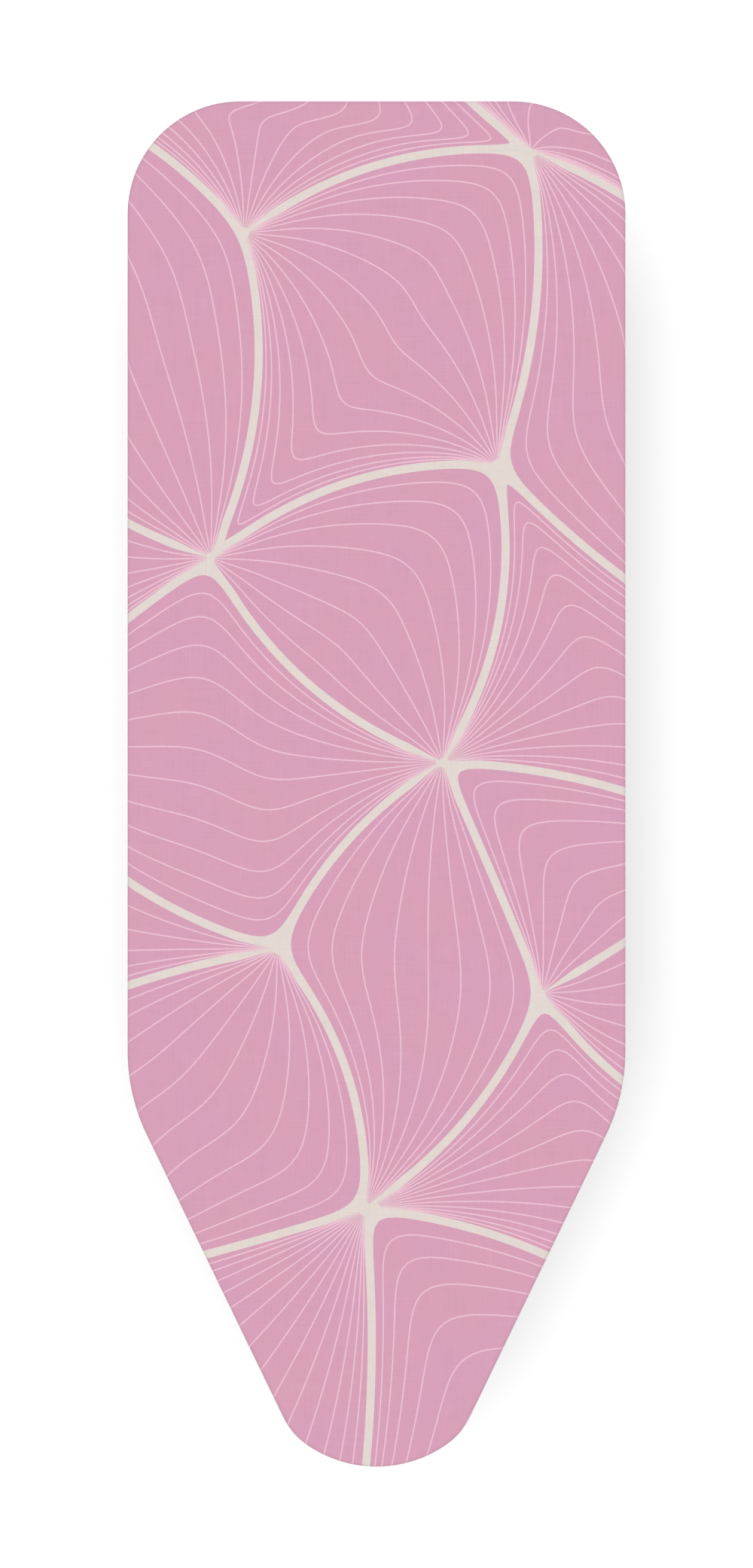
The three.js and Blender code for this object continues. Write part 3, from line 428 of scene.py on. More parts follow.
def ring_faces(rings, sides, closed=False):
    """Quads between rings of points; if closed, the last ring joins the first."""
    faces = []
    for ring in range(rings if closed else rings - 1):
        a, b = ring * sides, (ring + 1) % rings * sides
        faces += [(a + i, a + (i + 1) % sides, b + (i + 1) % sides, b + i) for i in range(sides)]
    return faces


def skin_faces(rings, sides, closed=False):
    """Quads between rings of points, with flat ends if they aren't closed."""
    ends = [] if closed else [tuple(reversed(range(sides))), tuple(range((rings - 1) * sides, rings * sides))]
    return ring_faces(rings, sides, closed) + ends


NODE_SLOTS = {part["node"]: part["material_slot"] for part in frame["record"]["subparts"]}


def stand_in(node, *parts, sharp=35):
    """A finer piece for one CAD node, from parts of (vertices, faces), on its body and with its finish."""
    body, slot = frame["nodes"][node]["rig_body"], NODE_SLOTS[node]
    piece = new_piece(f"fine_{node}", *joined(parts), body, slot, [node])
    piece.data.set_sharp_from_angle(angle=math.radians(sharp))
    return piece


def joined(parts):
    """Parts of (vertices, faces) as one."""
    vertices, faces = [], []
    for more_vertices, more_faces in parts:
        first = len(vertices)
        vertices += list(more_vertices)
        faces += [tuple(first + i for i in face) for face in more_faces]
    return vertices, faces


def fillet(points, radius, closed=False, steps=3):
    """A line of (radius, along) points with its corners rounded."""
    rounded = []
    for i, point in enumerate(points):
        corner = np.array(point, float)
        if not closed and i in (0, len(points) - 1):
            rounded.append(corner)
            continue
        arms = [np.array(points[j % len(points)], float) - corner for j in (i - 1, i + 1)]
        ends = [corner + arm * min(radius / np.linalg.norm(arm), 0.45) for arm in arms]
        for t in np.linspace(0, 1, steps + 1):
            rounded.append((1 - t) ** 2 * ends[0] + 2 * t * (1 - t) * corner + t * t * ends[1])
    return rounded


def placed(points, place):
    """Points moved into a place given by its matrix."""
    matrix = np.array(place)
    return np.asarray(points) @ matrix[:3, :3].T + matrix[:3, 3]


def skinned(rings, place, closed=False):
    """A skin through rings of points; one that isn't closed gets flat ends."""
    return placed(np.concatenate(rings), place), skin_faces(len(rings), len(rings[0]), closed)


def circle(radius, along=0.0, sides=48):
    """A ring of points round the Z axis."""
    angles = np.arange(sides) * 2 * math.pi / sides
    return np.column_stack([radius * np.cos(angles), radius * np.sin(angles), along + 0 * angles])


def turned(profile, place, closed=False, sides=48):
    """A turned shape from (radius, along) points round its place's Z axis."""
    return skinned([circle(max(radius, 0.02 * MM), along, sides) for radius, along in profile], place, closed)


def pipe(bore, radius, start, end, rounding, place, sides=48):
    """A turned tube with rounded ends, or a rod where there is no bore."""
    profile = fillet([(bore, start), (radius, start), (radius, end), (bore, end)], rounding, bore > 0)
    return turned(profile, place, bore > 0, sides)


def hexagon(corner, low, high, place, hole=0.0, sides=72):
    """A hexagon head or nut with its corners chamfered as they are cut from bar."""
    angles = np.arange(sides) * 2 * math.pi / sides
    flat = corner * math.cos(math.pi / 6)
    reach = flat / np.cos(angles % (math.pi / 3) - math.pi / 6)
    drop, face, mouth = (reach - 0.97 * flat) * 0.5, 0.95 * flat, 0.12 * hole
    profile = [(face, low), (reach, low + drop), (reach, high - drop), (face, high)]
    if hole:
        profile += [(hole + mouth, high), (hole, high - mouth), (hole, low + mouth), (hole + mouth, low)]
    return skinned([circle(radius, along, sides) for radius, along in profile], place, bool(hole))


def distances(line):
    """How far along a line each of its points lies."""
    return np.concatenate([[0], np.cumsum(np.linalg.norm(np.diff(line, axis=0), axis=1))])


def points_along(line, at):
    """Points at distances along a line."""
    return np.column_stack([np.interp(at, distances(line), column) for column in line.T])


def bead(line, axis, radius, ripple, steps=6, sides=8):
    """A weld bead along a closed line, with the ripples of its run."""
    looped = np.vstack([line, line[:1]])
    whole = distances(looped)[-1]
    ripples = round(whole / ripple)
    at = np.arange(ripples * steps) / (ripples * steps) * whole
    spots = points_along(looped, at)
    ahead = np.roll(spots, -1, axis=0) - np.roll(spots, 1, axis=0)
    ahead /= np.linalg.norm(ahead, axis=1)[:, None]
    out = np.cross(ahead, np.array(axis))
    out /= np.linalg.norm(out, axis=1)[:, None]
    up = np.cross(out, ahead)
    swell = radius * (1 + 0.16 * np.sin(2 * math.pi * ripples * at / whole))[:, None]
    rings = [spots + swell * (x * out + y * up) for x, y, _ in circle(1, sides=sides)]
    return np.concatenate(rings), ring_faces(sides, len(spots), True)


def axis_place(origin, along):
    """A place at an origin whose Z axis points along a direction."""
    along = Vector(along).normalized()
    return Matrix.Translation(Vector(origin)) @ along.to_track_quat("Z", "Y").to_matrix().to_4x4()


def box_of(node):
    """A CAD node's lowest and highest corner, and its middle."""
    low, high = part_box(node)
    return low, high, (low + high) / 2


def crosswise(node):
    """For a piece along X: a place on the board's middle plane facing outwards, and the piece's two ends."""
    low, high, middle = box_of(node)
    side = -1 if middle.x < -MM else 1
    return axis_place((0, middle.y, middle.z), (side, 0, 0)), *sorted((side * low.x, side * high.x))


def half_height(node):
    """Half a CAD node's height, which is its radius where it lies flat."""
    low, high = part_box(node)
    return (high.z - low.z) / 2


def straight_across(node, bore, rounding, sides=48):
    """A rod or tube along X in place of a CAD node."""
    low, high, middle = box_of(node)
    place = axis_place((0, middle.y, middle.z), (1, 0, 0))
    stand_in(node, pipe(bore, half_height(node), low.x, high.x, rounding, place, sides))


def softened(node, radius):
    """A copy of a CAD node with its edges rounded, in place of the node."""
    source = frame["nodes"][node]
    mesh = bmesh.new()
    mesh.from_mesh(source.data)
    bmesh.ops.remove_doubles(mesh, verts=mesh.verts, dist=0.001 * MM)
    bmesh.ops.dissolve_limit(mesh, angle_limit=math.radians(1), verts=mesh.verts, edges=mesh.edges)
    sharp = [edge for edge in mesh.edges
             if len(edge.link_faces) == 2 and edge.calc_face_angle() > math.radians(35)]
    bmesh.ops.bevel(
        mesh, geom=sharp, offset=radius, segments=2, profile=0.5, affect="EDGES", clamp_overlap=True)
    bmesh.ops.triangulate(mesh, faces=mesh.faces)
    vertices = [vertex.co.copy() for vertex in mesh.verts]
    faces = [[vertex.index for vertex in face.verts] for face in mesh.faces]
    mesh.free()
    stand_in(node, (vertices, faces), sharp=30)


# ---------------------------------------------------------------- the plan

class Arc:
    """An arc of the outline, turning to the left."""

    def __init__(self, centre, radius, start, end):
        self.centre, self.radius, self.start = np.array(centre), radius, start
        self.turn = end - start
        self.length = radius * self.turn

    def at(self, distance):
        angle = self.start + distance / self.radius
        normal = np.stack([np.cos(angle), np.sin(angle)], -1)
        return self.centre + self.radius * normal, normal

    def locate(self, points):
        """Which points face this arc, with their distance outside it and along it."""
        away = points - self.centre
        angle = (np.arctan2(away[:, 1], away[:, 0]) - self.start + 1e-9) % (2 * math.pi)
        return angle <= self.turn + 2e-9, np.linalg.norm(away, axis=1) - self.radius, angle * self.radius


class Straight:
    """A straight stretch of the outline, with its outside on the right."""

    def __init__(self, start, end):
        self.start = start
        self.length = np.linalg.norm(end - start)
        self.ahead = (end - start) / max(self.length, 1e-12)
        self.normal = np.array([self.ahead[1], -self.ahead[0]])

    def at(self, distance):
        feet = self.start + np.outer(distance, self.ahead)
        return feet, np.broadcast_to(self.normal, feet.shape)

    def locate(self, points):
        away = points - self.start
        along = away @ self.ahead
        return (along >= 0) & (along <= self.length), away @ self.normal, along


class Plan:
    """The board's outline: arcs joined by straight stretches, counter-clockwise from the right side."""

    def __init__(self, s):
        low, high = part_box("cover")
        half_width, half_length = (high.x - low.x) / 2, (high.y - low.y) / 2
        tail = (half_width - s.tail_corner_radius, half_length - s.tail_corner_radius)
        shoulder = (half_width - s.shoulder_radius, s.nose_length - half_length)
        nose = (0.0, s.nose_radius - half_length)
        tip = s.nose_arc_half_angle
        inward = s.nose_radius - s.nose_blend_radius
        blend = (inward * math.sin(tip), nose[1] - inward * math.cos(tip))
        dx, dy = shoulder[0] - blend[0], shoulder[1] - blend[1]
        taper = math.acos((s.nose_blend_radius - s.shoulder_radius) / math.hypot(dx, dy)) - math.atan2(dy, dx)
        turn = math.pi
        arcs = [
            Arc(tail, s.tail_corner_radius, 0, turn / 2),
            Arc((-tail[0], tail[1]), s.tail_corner_radius, turn / 2, turn),
            Arc((-shoulder[0], shoulder[1]), s.shoulder_radius, turn, turn + taper),
            Arc((-blend[0], blend[1]), s.nose_blend_radius, turn + taper, 1.5 * turn - tip),
            Arc(nose, s.nose_radius, 1.5 * turn - tip, 1.5 * turn + tip),
            Arc(blend, s.nose_blend_radius, 1.5 * turn + tip, 2 * turn - taper),
            Arc(shoulder, s.shoulder_radius, 2 * turn - taper, 2 * turn),
        ]
        self.parts = []
        for arc, following in zip(arcs, arcs[1:] + arcs[:1]):
            end = arc.at(np.array([arc.length]))[0][0]
            start = following.at(np.array([0.0]))[0][0]
            self.parts += [arc, Straight(end, start)]
        self.parts = [part for part in self.parts if part.length > 1e-6]
        self.starts = np.cumsum([0] + [part.length for part in self.parts])
        self.length = self.starts[-1]

    def at(self, along):
        """Feet and outward normals at distances along the outline."""
        along = np.asarray(along) % self.length
        feet, normals = np.empty((len(along), 2)), np.empty((len(along), 2))
        for start, part in zip(self.starts, self.parts):
            here = (along >= start) & (along <= start + part.length)
            feet[here], normals[here] = part.at(along[here] - start)
        return feet, normals

    def locate(self, points):
        """How far each point is outside the outline, and where along it."""
        best = np.full(len(points), np.inf)
        along = np.zeros(len(points))
        for start, part in zip(self.starts, self.parts):
            faces, outside, distance = part.locate(points)
            nearer = faces & (np.abs(outside) < np.abs(best))
            best[nearer] = outside[nearer]
            along[nearer] = start + distance[nearer]
        return best, along

    def ring(self, inset, z, count):
        """Points round the outline at an inset and a height."""
        feet, normals = self.at(np.arange(count) * self.length / count)
        flat = feet - normals * inset
        return np.column_stack([flat, np.full(count, z)])

    def loft(self, section, count, closed):
        """Vertices and faces of a skin through (inset, z) points; if it isn't closed, flat caps end it."""
        rings = [self.ring(inset, z, count) for inset, z in section]
        return np.concatenate(rings), skin_faces(len(rings), count, closed)


def arc_points(u, z, radius, start, end, step=12):
    """(u, z) points of an arc between two angles in degrees."""
    count = max(2, round(abs(end - start) / step))
    angles = np.radians(np.linspace(start, end, count + 1))
    return np.column_stack([u + radius * np.cos(angles), z + radius * np.sin(angles)])


# ---------------------------------------------------------------- the cover

class ClothLine:
    """The cloth's section from the flat top, over the edge, under the rim and round the hem's elastic."""

    def __init__(self, s):
        low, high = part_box("cover")
        self.skirt = skirt = low.z + 2 * s.hem_radius
        edge = arc_points(s.edge_radius, high.z - s.edge_radius, s.edge_radius, 90, 180)
        fold = arc_points(s.fold_radius, skirt + s.fold_radius, s.fold_radius, 180, 270)
        side = np.column_stack([np.zeros(3), np.linspace(edge[-1, 1], fold[0, 1], 5)[1:-1]])
        flat = np.column_stack([np.linspace(s.fold_radius, s.hem_inset, 9)[1:-1], np.full(7, skirt)])
        hem = arc_points(s.hem_inset, skirt - s.hem_radius, s.hem_radius, 90, -215, 22)
        self.points = np.concatenate([edge, side, fold, flat, hem])
        self.along = distances(self.points)
        self.fold_end = self.along[len(edge) + len(side) + len(fold) - 1]
        self.hem_start = self.along[len(edge) + len(side) + len(fold) + len(flat)]
        self.edge_inset = s.edge_radius

    def at(self, distance):
        """Inset and height of the cloth at a distance past the flat top."""
        return (np.interp(distance, self.along, self.points[:, 0]),
                np.interp(distance, self.along, self.points[:, 1]))


class Gathers:
    """How the elastic puckers the skirt: waves round the board, deeper where the outline turns."""

    WAVES = ((58, 0.0, 1.0), (83, 1.9, 0.8), (113, 4.1, 0.55), (31, 2.6, 0.5))

    def __init__(self, plan, s):
        self.plan, self.depth = plan, s.gather
        count = 720
        turning = np.zeros(count)
        along = (np.arange(count) + 0.5) * plan.length / count
        for start, part in zip(plan.starts, plan.parts):
            if isinstance(part, Arc):
                turning[(along >= start) & (along < start + part.length)] = min(1, 0.1 / part.radius)
        window = np.hanning(31) / np.hanning(31).sum()
        wide = np.convolve(np.concatenate([turning[-15:], turning, turning[:15]]), window, "valid")
        self.along, self.turning = along, wide

    def at(self, along):
        """Downward and inward shifts at distances along the outline, for a fully gathered point."""
        share = 0.35 + 0.65 * np.interp(along, self.along, self.turning, period=self.plan.length)
        turn = 2 * math.pi * along / self.plan.length
        total = sum(weight for _, _, weight in self.WAVES)
        wave = sum(weight * np.sin(count * turn + phase) for count, phase, weight in self.WAVES) / total
        drift = np.sin(19 * turn + 0.7) * 0.6 + np.sin(43 * turn + 3.0) * 0.4
        return self.depth * share * (0.45 + wave), self.depth * 0.7 * share * drift


# The print's junctions: where bold veins meet, on the cloth laid flat. Those past the cloth's
# edge only lead veins off it.
JUNCTIONS = {
    "a": (-0.120, 0.500), "b": (0.140, 0.575), "c": (0.110, 0.290), "d": (-0.150, 0.205),
    "e": (0.060, 0.020), "f": (-0.090, -0.150), "g": (0.150, -0.190), "h": (-0.010, -0.385),
    "top_left": (-0.340, 0.640), "top": (-0.020, 0.780), "top_right": (0.340, 0.720),
    "right_1": (0.350, 0.420), "right_2": (0.350, 0.110), "right_3": (0.350, -0.060),
    "right_4": (0.340, -0.330), "right_5": (0.330, -0.560), "nose_right": (0.300, -0.800),
    "nose": (-0.040, -0.800), "nose_left": (-0.300, -0.800), "left_5": (-0.330, -0.470),
    "left_4": (-0.340, -0.230), "left_3": (-0.350, 0.040), "left_2": (-0.350, 0.330),
}

# Each cell of the print lies between two runs of veins that start and end at the same two junctions.
CELLS = (
    (("a", "top_left", "top"), ("a", "b", "top")),
    (("b", "top", "top_right"), ("b", "right_1", "top_right")),
    (("d", "a", "top_left"), ("d", "left_2", "top_left")),
    (("a", "b", "c"), ("a", "d", "c")),
    (("b", "right_1", "right_2"), ("b", "c", "right_2")),
    (("d", "c", "e"), ("d", "e")),
    (("d", "left_2"), ("d", "left_3", "left_2")),
    (("left_3", "d", "e"), ("left_3", "f", "e")),
    (("e", "c", "right_2"), ("e", "right_3", "right_2")),
    (("e", "f", "h"), ("e", "g", "h")),
    (("g", "e", "right_3"), ("g", "right_3")),
    (("f", "left_3"), ("f", "left_4", "left_3")),
    (("f", "h", "left_5"), ("f", "left_4", "left_5")),
    (("g", "right_3"), ("g", "right_4", "right_3")),
    (("h", "g", "right_4"), ("h", "right_5", "right_4")),
    (("h", "left_5", "nose_left"), ("h", "nose", "nose_left")),
    (("nose", "h", "right_5"), ("nose", "nose_right", "right_5")),
)


def shoelace(corners):
    """Area of polygons whose corners run counter-clockwise, less than nothing if they run the other way."""
    following = np.roll(corners, -1, axis=-2)
    return np.sum(corners[..., 0] * following[..., 1] - following[..., 0] * corners[..., 1], axis=-1) / 2


def leftward(line):
    """Unit vectors square to a flat line, on its left."""
    ahead = np.gradient(line, axis=0)
    return np.column_stack([-ahead[:, 1], ahead[:, 0]]) / np.linalg.norm(ahead, axis=1)[:, None]


def smoothed(points, times):
    """A line with its corners eased, its two ends kept."""
    points = points.copy()
    for _ in range(times):
        points[1:-1] = (points[:-2] + 2 * points[1:-1] + points[2:]) / 4
    return points


def vein(first, last):
    """The middle of a bold vein between two junctions: a shallow curve, bowed by its junctions' places."""
    start, end = (np.array(JUNCTIONS[name]) for name in sorted((first, last)))
    across = np.array([start[1] - end[1], end[0] - start[0]])
    bow = 0.2 * math.sin(31 * (start[0] + end[1]) + 17 * (start[1] - end[0]))
    middle = (start + end) / 2 + bow * across
    t = np.linspace(0, 1, 33)[:, None]
    points = (1 - t) ** 2 * start + 2 * t * (1 - t) * middle + t ** 2 * end
    return points[::-1] if first > last else points


def cell_side(names, s, spacing=0.004):
    """One run of veins with its corners rounded as ink flows round a cell."""
    run = np.concatenate([vein(first, last) for first, last in zip(names, names[1:])])
    whole = distances(run)[-1]
    even = points_along(run, np.linspace(0, whole, max(3, round(whole / spacing) + 1)))
    return smoothed(even, round(2 * (s.corner_softness / spacing) ** 2))


def inset_side(side, other, half_vein, fade=0.035):
    """The side moved into its cell by half a vein, fading to nothing at both ends."""
    normal = leftward(side)
    middle = len(side) // 2
    if normal[middle] @ (other[middle] - side[middle]) < 0:
        normal = -normal
    from_start = np.linalg.norm(side - side[0], axis=1)
    from_end = np.linalg.norm(side - side[-1], axis=1)
    share = np.clip(np.minimum(from_start, from_end) / fade, 0, 1)
    return side + normal * (half_vein * share)[:, None]


def printed_cell(sides, s, samples=84):
    """A cell's outline, and its fine lines as strips of quads with how far each fades into vein ink."""
    pair = []
    for names in sides:
        side = cell_side(names, s)
        pair.append(points_along(side, np.linspace(0, distances(side)[-1], samples)))
    one, two = (inset_side(pair[i], pair[1 - i], s.vein_width / 2) for i in (0, 1))
    apart = np.linalg.norm(one - two, axis=1)
    count = int(np.clip(round(apart.max() / s.line_spacing), 6, 15))
    spacing = apart / count
    wide = np.flatnonzero(spacing > 0.3 * s.line_width)
    first, last = wide[0], wide[-1]
    outline = np.concatenate([one[first:last + 1], two[first:last + 1][::-1]])
    share = 0.46 - 0.16 * np.clip(spacing / s.line_width, 0, 1)
    half = np.minimum(s.line_width / 2, share * spacing)
    quads, fades = [], []
    for line in range(1, count):
        even = line / count
        eased = 0.5 - 0.5 * math.cos(math.pi * even)
        mix = (1 - s.line_crowding) * even + s.line_crowding * eased
        path = smoothed((1 - mix) * one + mix * two, round(60 * min(even, 1 - even)))
        across = leftward(path) * half[:, None]
        near, far = path + across, path - across
        for i in range(first, last):
            quads.append((near[i], far[i], far[i + 1], near[i + 1]))
            fades.append(float(np.clip(1 - spacing[i] / (1.6 * s.line_width), 0, 1)))
    return outline, quads, fades


def cloth_triangles(plan, line, s, around=480, spare=0.01):
    """The flat cloth as triangles that follow its folds and its print, with the ink of each."""
    rings = np.concatenate([[-0.001], line.along]) - line.edge_inset
    points, edges, faces, inks = [], [], [], []
    feet, normals = plan.at(np.arange(around) * plan.length / around)
    for distance in rings:
        first = len(points)
        points += list(feet + normals * distance)
        edges += [(first + i, first + (i + 1) % around) for i in range(around)]
    faces.append(list(range(len(points) - around, len(points))))
    inks.append(1.0)
    reach = rings[-1] + spare

    def add_face(corners, ink):
        corners = np.array(corners)
        if plan.locate(corners)[0].min() > reach:
            return
        if shoelace(corners) < 0:
            corners = corners[::-1]
        faces.append(list(range(len(points), len(points) + len(corners))))
        points.extend(corners)
        inks.append(ink)

    for sides in CELLS:
        outline, quads, fades = printed_cell(sides, s)
        add_face(outline, 0.0)
        for quad, fade in zip(quads, fades):
            add_face(quad, 0.5 + 0.5 * fade)
    found = geometry.delaunay_2d_cdt([Vector(p) for p in points], edges, faces, 0, 1e-7, True)
    vertices, triangles, sources = np.array([tuple(v) for v in found[0]]), found[2], found[5]
    sizes = np.abs(shoelace(vertices[np.array(triangles)]))
    covered = np.zeros(len(faces))
    for size, source in zip(sizes, sources):
        covered[source] += size
    # A sliver with no inside of its own is reported as holding everything round it.
    own = np.array([abs(shoelace(np.array([points[i] for i in face]))) for face in faces])
    sound = covered < 1.5 * own + 1e-9
    kept, ink = [], []
    for triangle, source in zip(triangles, sources):
        if 0 not in source:
            continue
        values = [inks[i] for i in source if i and sound[i]]
        kept.append(triangle)
        ink.append(max(values) if values else 1.0)
    used, places = np.unique(np.array(kept), return_inverse=True)
    return vertices[used], places.reshape(-1, 3), ink


def folded_cloth(flat, plan, line, gathers):
    """Where each point of the flat cloth lies once the cover is on the board."""
    outside, along = plan.locate(flat)
    past = outside + line.edge_inset
    inset, z = line.at(np.maximum(past, 0))
    down, inward = gathers.at(along)
    loose = np.clip((past - line.fold_end) / (line.hem_start - line.fold_end), 0, 1)
    loose = loose * loose * (3 - 2 * loose)
    feet, normals = plan.at(along)
    spot = feet - normals * (inset + inward * loose)[:, None]
    on_top = past <= 0
    spot[on_top] = flat[on_top]
    return np.column_stack([spot, z - down * loose])


class IRONING_OT_cover(bpy.types.Operator):
    """Cuts the printed cloth, folds it over the board and gathers its hem"""

    bl_idname = "ironing.cover"
    bl_label = "Printed Cover"

    def execute(self, context):
        s = cover_settings()
        plan, line = Plan(s), ClothLine(s)
        gathers = Gathers(plan, s)
        flat, triangles, ink = cloth_triangles(plan, line, s)
        vertices = folded_cloth(flat, plan, line, gathers)
        cover = new_piece("printed_cover", vertices, triangles, "board", "cover_cotton", ["cover"])
        mesh = cover.data
        mesh.attributes.new("print", "FLOAT", "FACE").data.foreach_set("value", ink)
        corners = triangles.ravel()
        span = flat.max(0) - flat.min(0)
        for name, place in (("Cloth", flat), ("OFBake", (flat - flat.min(0)) / span * 0.996 + 0.002)):
            mesh.uv_layers.new(name=name).uv.foreach_set("vector", place[corners].astype(np.float32).ravel())
        elastic = self.elastic(plan, line, gathers, s)
        stitches = self.stitches(plan, line, gathers, s)
        cut = plan.ring(-(line.along[-1] - line.edge_inset), 0, 720)
        return {"FINISHED"}

    def elastic(self, plan, line, gathers, s):
        """The elastic cord in the hem, puckered with it."""
        section, count = circle(s.elastic_radius, sides=8), 480
        along = np.arange(count) * plan.length / count
        feet, normals = plan.at(along)
        down, inward = gathers.at(along)
        rings = []
        for across, fall, _ in section:
            reach = s.hem_inset + inward + across
            z = line.skirt - s.hem_radius - down - fall
            rings.append(np.column_stack([feet - normals * reach[:, None], z]))
        faces = ring_faces(len(section), count, True)
        return new_piece("elastic_cord", np.concatenate(rings), faces, "board", "elastic", ["hem_elastic"])

    def stitches(self, plan, line, gathers, s, from_hem=3 * MM):
        """A row of lock stitches along the hem, each a short loop of thread on the cloth's face."""
        past = line.hem_start - from_hem - line.edge_inset
        section = circle(s.thread_radius, sides=5)[::-1]
        stands_out = s.thread_radius * np.array((-0.2, 1.0, 1.0, -0.2))
        loops = []
        for i in range(round(plan.length / s.stitch_pitch)):
            feet, normals = plan.at(i * s.stitch_pitch + np.linspace(0, s.stitch_length, len(stands_out)))
            spots = folded_cloth(feet + normals * past, plan, line, gathers)
            across = Vector(spots[-1] - spots[0]).cross(UP).normalized()
            vertices = [Vector(spot) + across * x + UP * (z - out)
                        for spot, out in zip(spots, stands_out) for x, z, _ in section]
            loops.append((vertices, ring_faces(len(spots), len(section))))
        return new_piece("hem_stitches", *joined(loops), "board", "elastic")


# ---------------------------------------------------------------- what the cover lies on

class IRONING_OT_pad(bpy.types.Operator):
    """Lays the foam pad under the cover"""

    bl_idname = "ironing.pad"
    bl_label = "Foam Pad"

    def execute(self, context):
        plan, radius = Plan(cover_settings()), frame_settings().pad_rounding
        low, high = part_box("foam_pad")
        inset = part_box("cover")[1].x - high.x
        section = np.concatenate([
            arc_points(inset + radius, low.z + radius, radius, 270, 180, 15),
            arc_points(inset + radius, high.z - radius, radius, 180, 90, 15),
        ])
        pad = new_piece("pad_of_foam", *plan.loft(section, 360, False), "board", "foam", ["foam_pad"])
        return {"FINISHED"}


class IRONING_OT_mesh(bpy.types.Operator):
    """Expands the steel sheet into strands and trims it to the rim"""

    bl_idname = "ironing.mesh"
    bl_label = "Mesh Top"

    def execute(self, context):
        s, plan = frame_settings(), Plan(cover_settings())
        low, high, middle = box_of("mesh_top")
        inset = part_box("cover")[1].x - high.x
        half_x, half_y = s.mesh_pitch_x / 2, s.mesh_pitch_y / 2
        columns, rows = math.ceil(high.x / half_x), math.ceil(high.y / half_y)
        knots = np.array([(i * half_x, j * half_y) for i in range(-columns, columns + 1)
                          for j in range(-rows, rows + 1) if (i + j) % 2 == 0])
        outside, _ = plan.locate(knots)
        start_inset, end_inset = inset + 0.5 * s.mesh_border, inset + 0.4 * s.mesh_border
        parts = []
        for x, y in knots[outside < -start_inset]:
            for side in SIDES.values():
                end = (x + side * half_x, y + half_y)
                if plan.locate(np.array([end]))[0][0] < -end_inset:
                    parts.append(self.strand((x, y, middle.z), (*end, middle.z), side * s.strand_tilt, s))
        inner = inset + s.mesh_border
        section = [(inset, low.z), (inset, high.z), (inner, high.z), (inner, low.z)]
        vertices, faces = joined([*parts, plan.loft(section, 360, True)])
        new_piece("expanded_mesh", vertices, faces, "board", "mesh_steel", ["mesh_top"], smooth=False)
        return {"FINISHED"}

    def strand(self, start, end, tilt, s):
        """A flat strand between two places, tilted as the press leaves it."""
        start, end = Vector(start), Vector(end)
        ahead = (end - start).normalized()
        across = ahead.cross(UP).normalized()
        up = across.cross(ahead)
        wide = (math.cos(tilt) * across + math.sin(tilt) * up) * s.strand_width / 2
        thick = (math.cos(tilt) * up - math.sin(tilt) * across) * s.strand_thickness / 2
        vertices = [place + corner for place in (start, end)
                    for corner in (-wide - thick, thick - wide, wide + thick, wide - thick)]
        return vertices, skin_faces(2, 4)


class IRONING_OT_rim(bpy.types.Operator):
    """Rolls the rim's channel round the board"""

    bl_idname = "ironing.rim"
    bl_label = "Edge Rim"

    def execute(self, context):
        s, plan = frame_settings(), Plan(cover_settings())
        low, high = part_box("edge_rim")
        outer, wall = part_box("cover")[1].x - high.x, s.rim_wall
        inner = outer + s.rim_width
        skin = fillet([(inner, low.z), (outer, low.z), (outer, high.z), (inner, high.z)], s.rim_rounding)
        floor, ceiling, back = low.z + wall, high.z - wall, outer + wall
        lining = [(inner, ceiling), (back, ceiling), (back, floor), (inner, floor)]
        lining = fillet(lining, s.rim_rounding - wall)
        stand_in("edge_rim", plan.loft(skin + lining, 480, True))
        return {"FINISHED"}


class IRONING_OT_metalwork(bpy.types.Operator):
    """Rounds the edges of the ribs, rails, brackets, lever and carriage"""

    bl_idname = "ironing.metalwork"
    bl_label = "Ribs, Rails and Carriage"

    def execute(self, context):
        s = frame_settings()
        for node in ("carriage_block", "rail_glide_left", "rail_glide_right"):
            softened(node, s.edge_rounding)
        sheet = [f"{place}_rib" for place in ("tail", "pivot", "centre", "nose")]
        sheet += ["rod_bracket_nose", "rod_bracket_tail", "clamp_lever"]
        for side in SIDES:
            sheet += [f"guide_rail_{side}", f"pivot_bracket_{side}"]
        for node in sheet:
            softened(node, s.sheet_rounding)
        return {"FINISHED"}


# ---------------------------------------------------------------- the legs

class Leg:
    """A leg's place: its origin at the top pin, X across the board and Z up along its tubes."""

    def __init__(self, name):
        top = HINGES["legs_fold" if name == "front" else "carriage_level"]
        up = (top - HINGES["legs_cross"]).normalized()
        across = Vector((1, 0, 0))
        self.name = name
        self.place = Matrix.Translation(top) @ Matrix((across, up.cross(across), up)).transposed().to_4x4()
        tube = self.points(f"{name}_leg_tube_left")
        brace = self.points(f"{name}_leg_brace")
        self.top = tube[:, 2].max()
        self.tube_radius = np.ptp(tube[:, 0]) / 2
        self.tube_x = abs(self.middle(f"{name}_leg_tube_left").x)
        self.brace_radius = np.ptp(brace[:, 1]) / 2
        self.brace_z = self.middle(f"{name}_leg_brace").z
        self.bar_radius = half_height(f"{name}_foot_bar")
        self.bar_z = self.middle(f"{name}_foot_bar").z

    def points(self, node):
        """A CAD node's points as the leg sees them."""
        return placed([vertex.co for vertex in frame["nodes"][node].data.vertices], self.place.inverted())

    def middle(self, node):
        """The middle of a CAD node's box as the leg sees it."""
        return self.place.inverted() @ box_of(node)[2]

    def on_tube(self, sign):
        """The place of one side's tube."""
        return self.place @ Matrix.Translation((sign * self.tube_x, 0, 0))


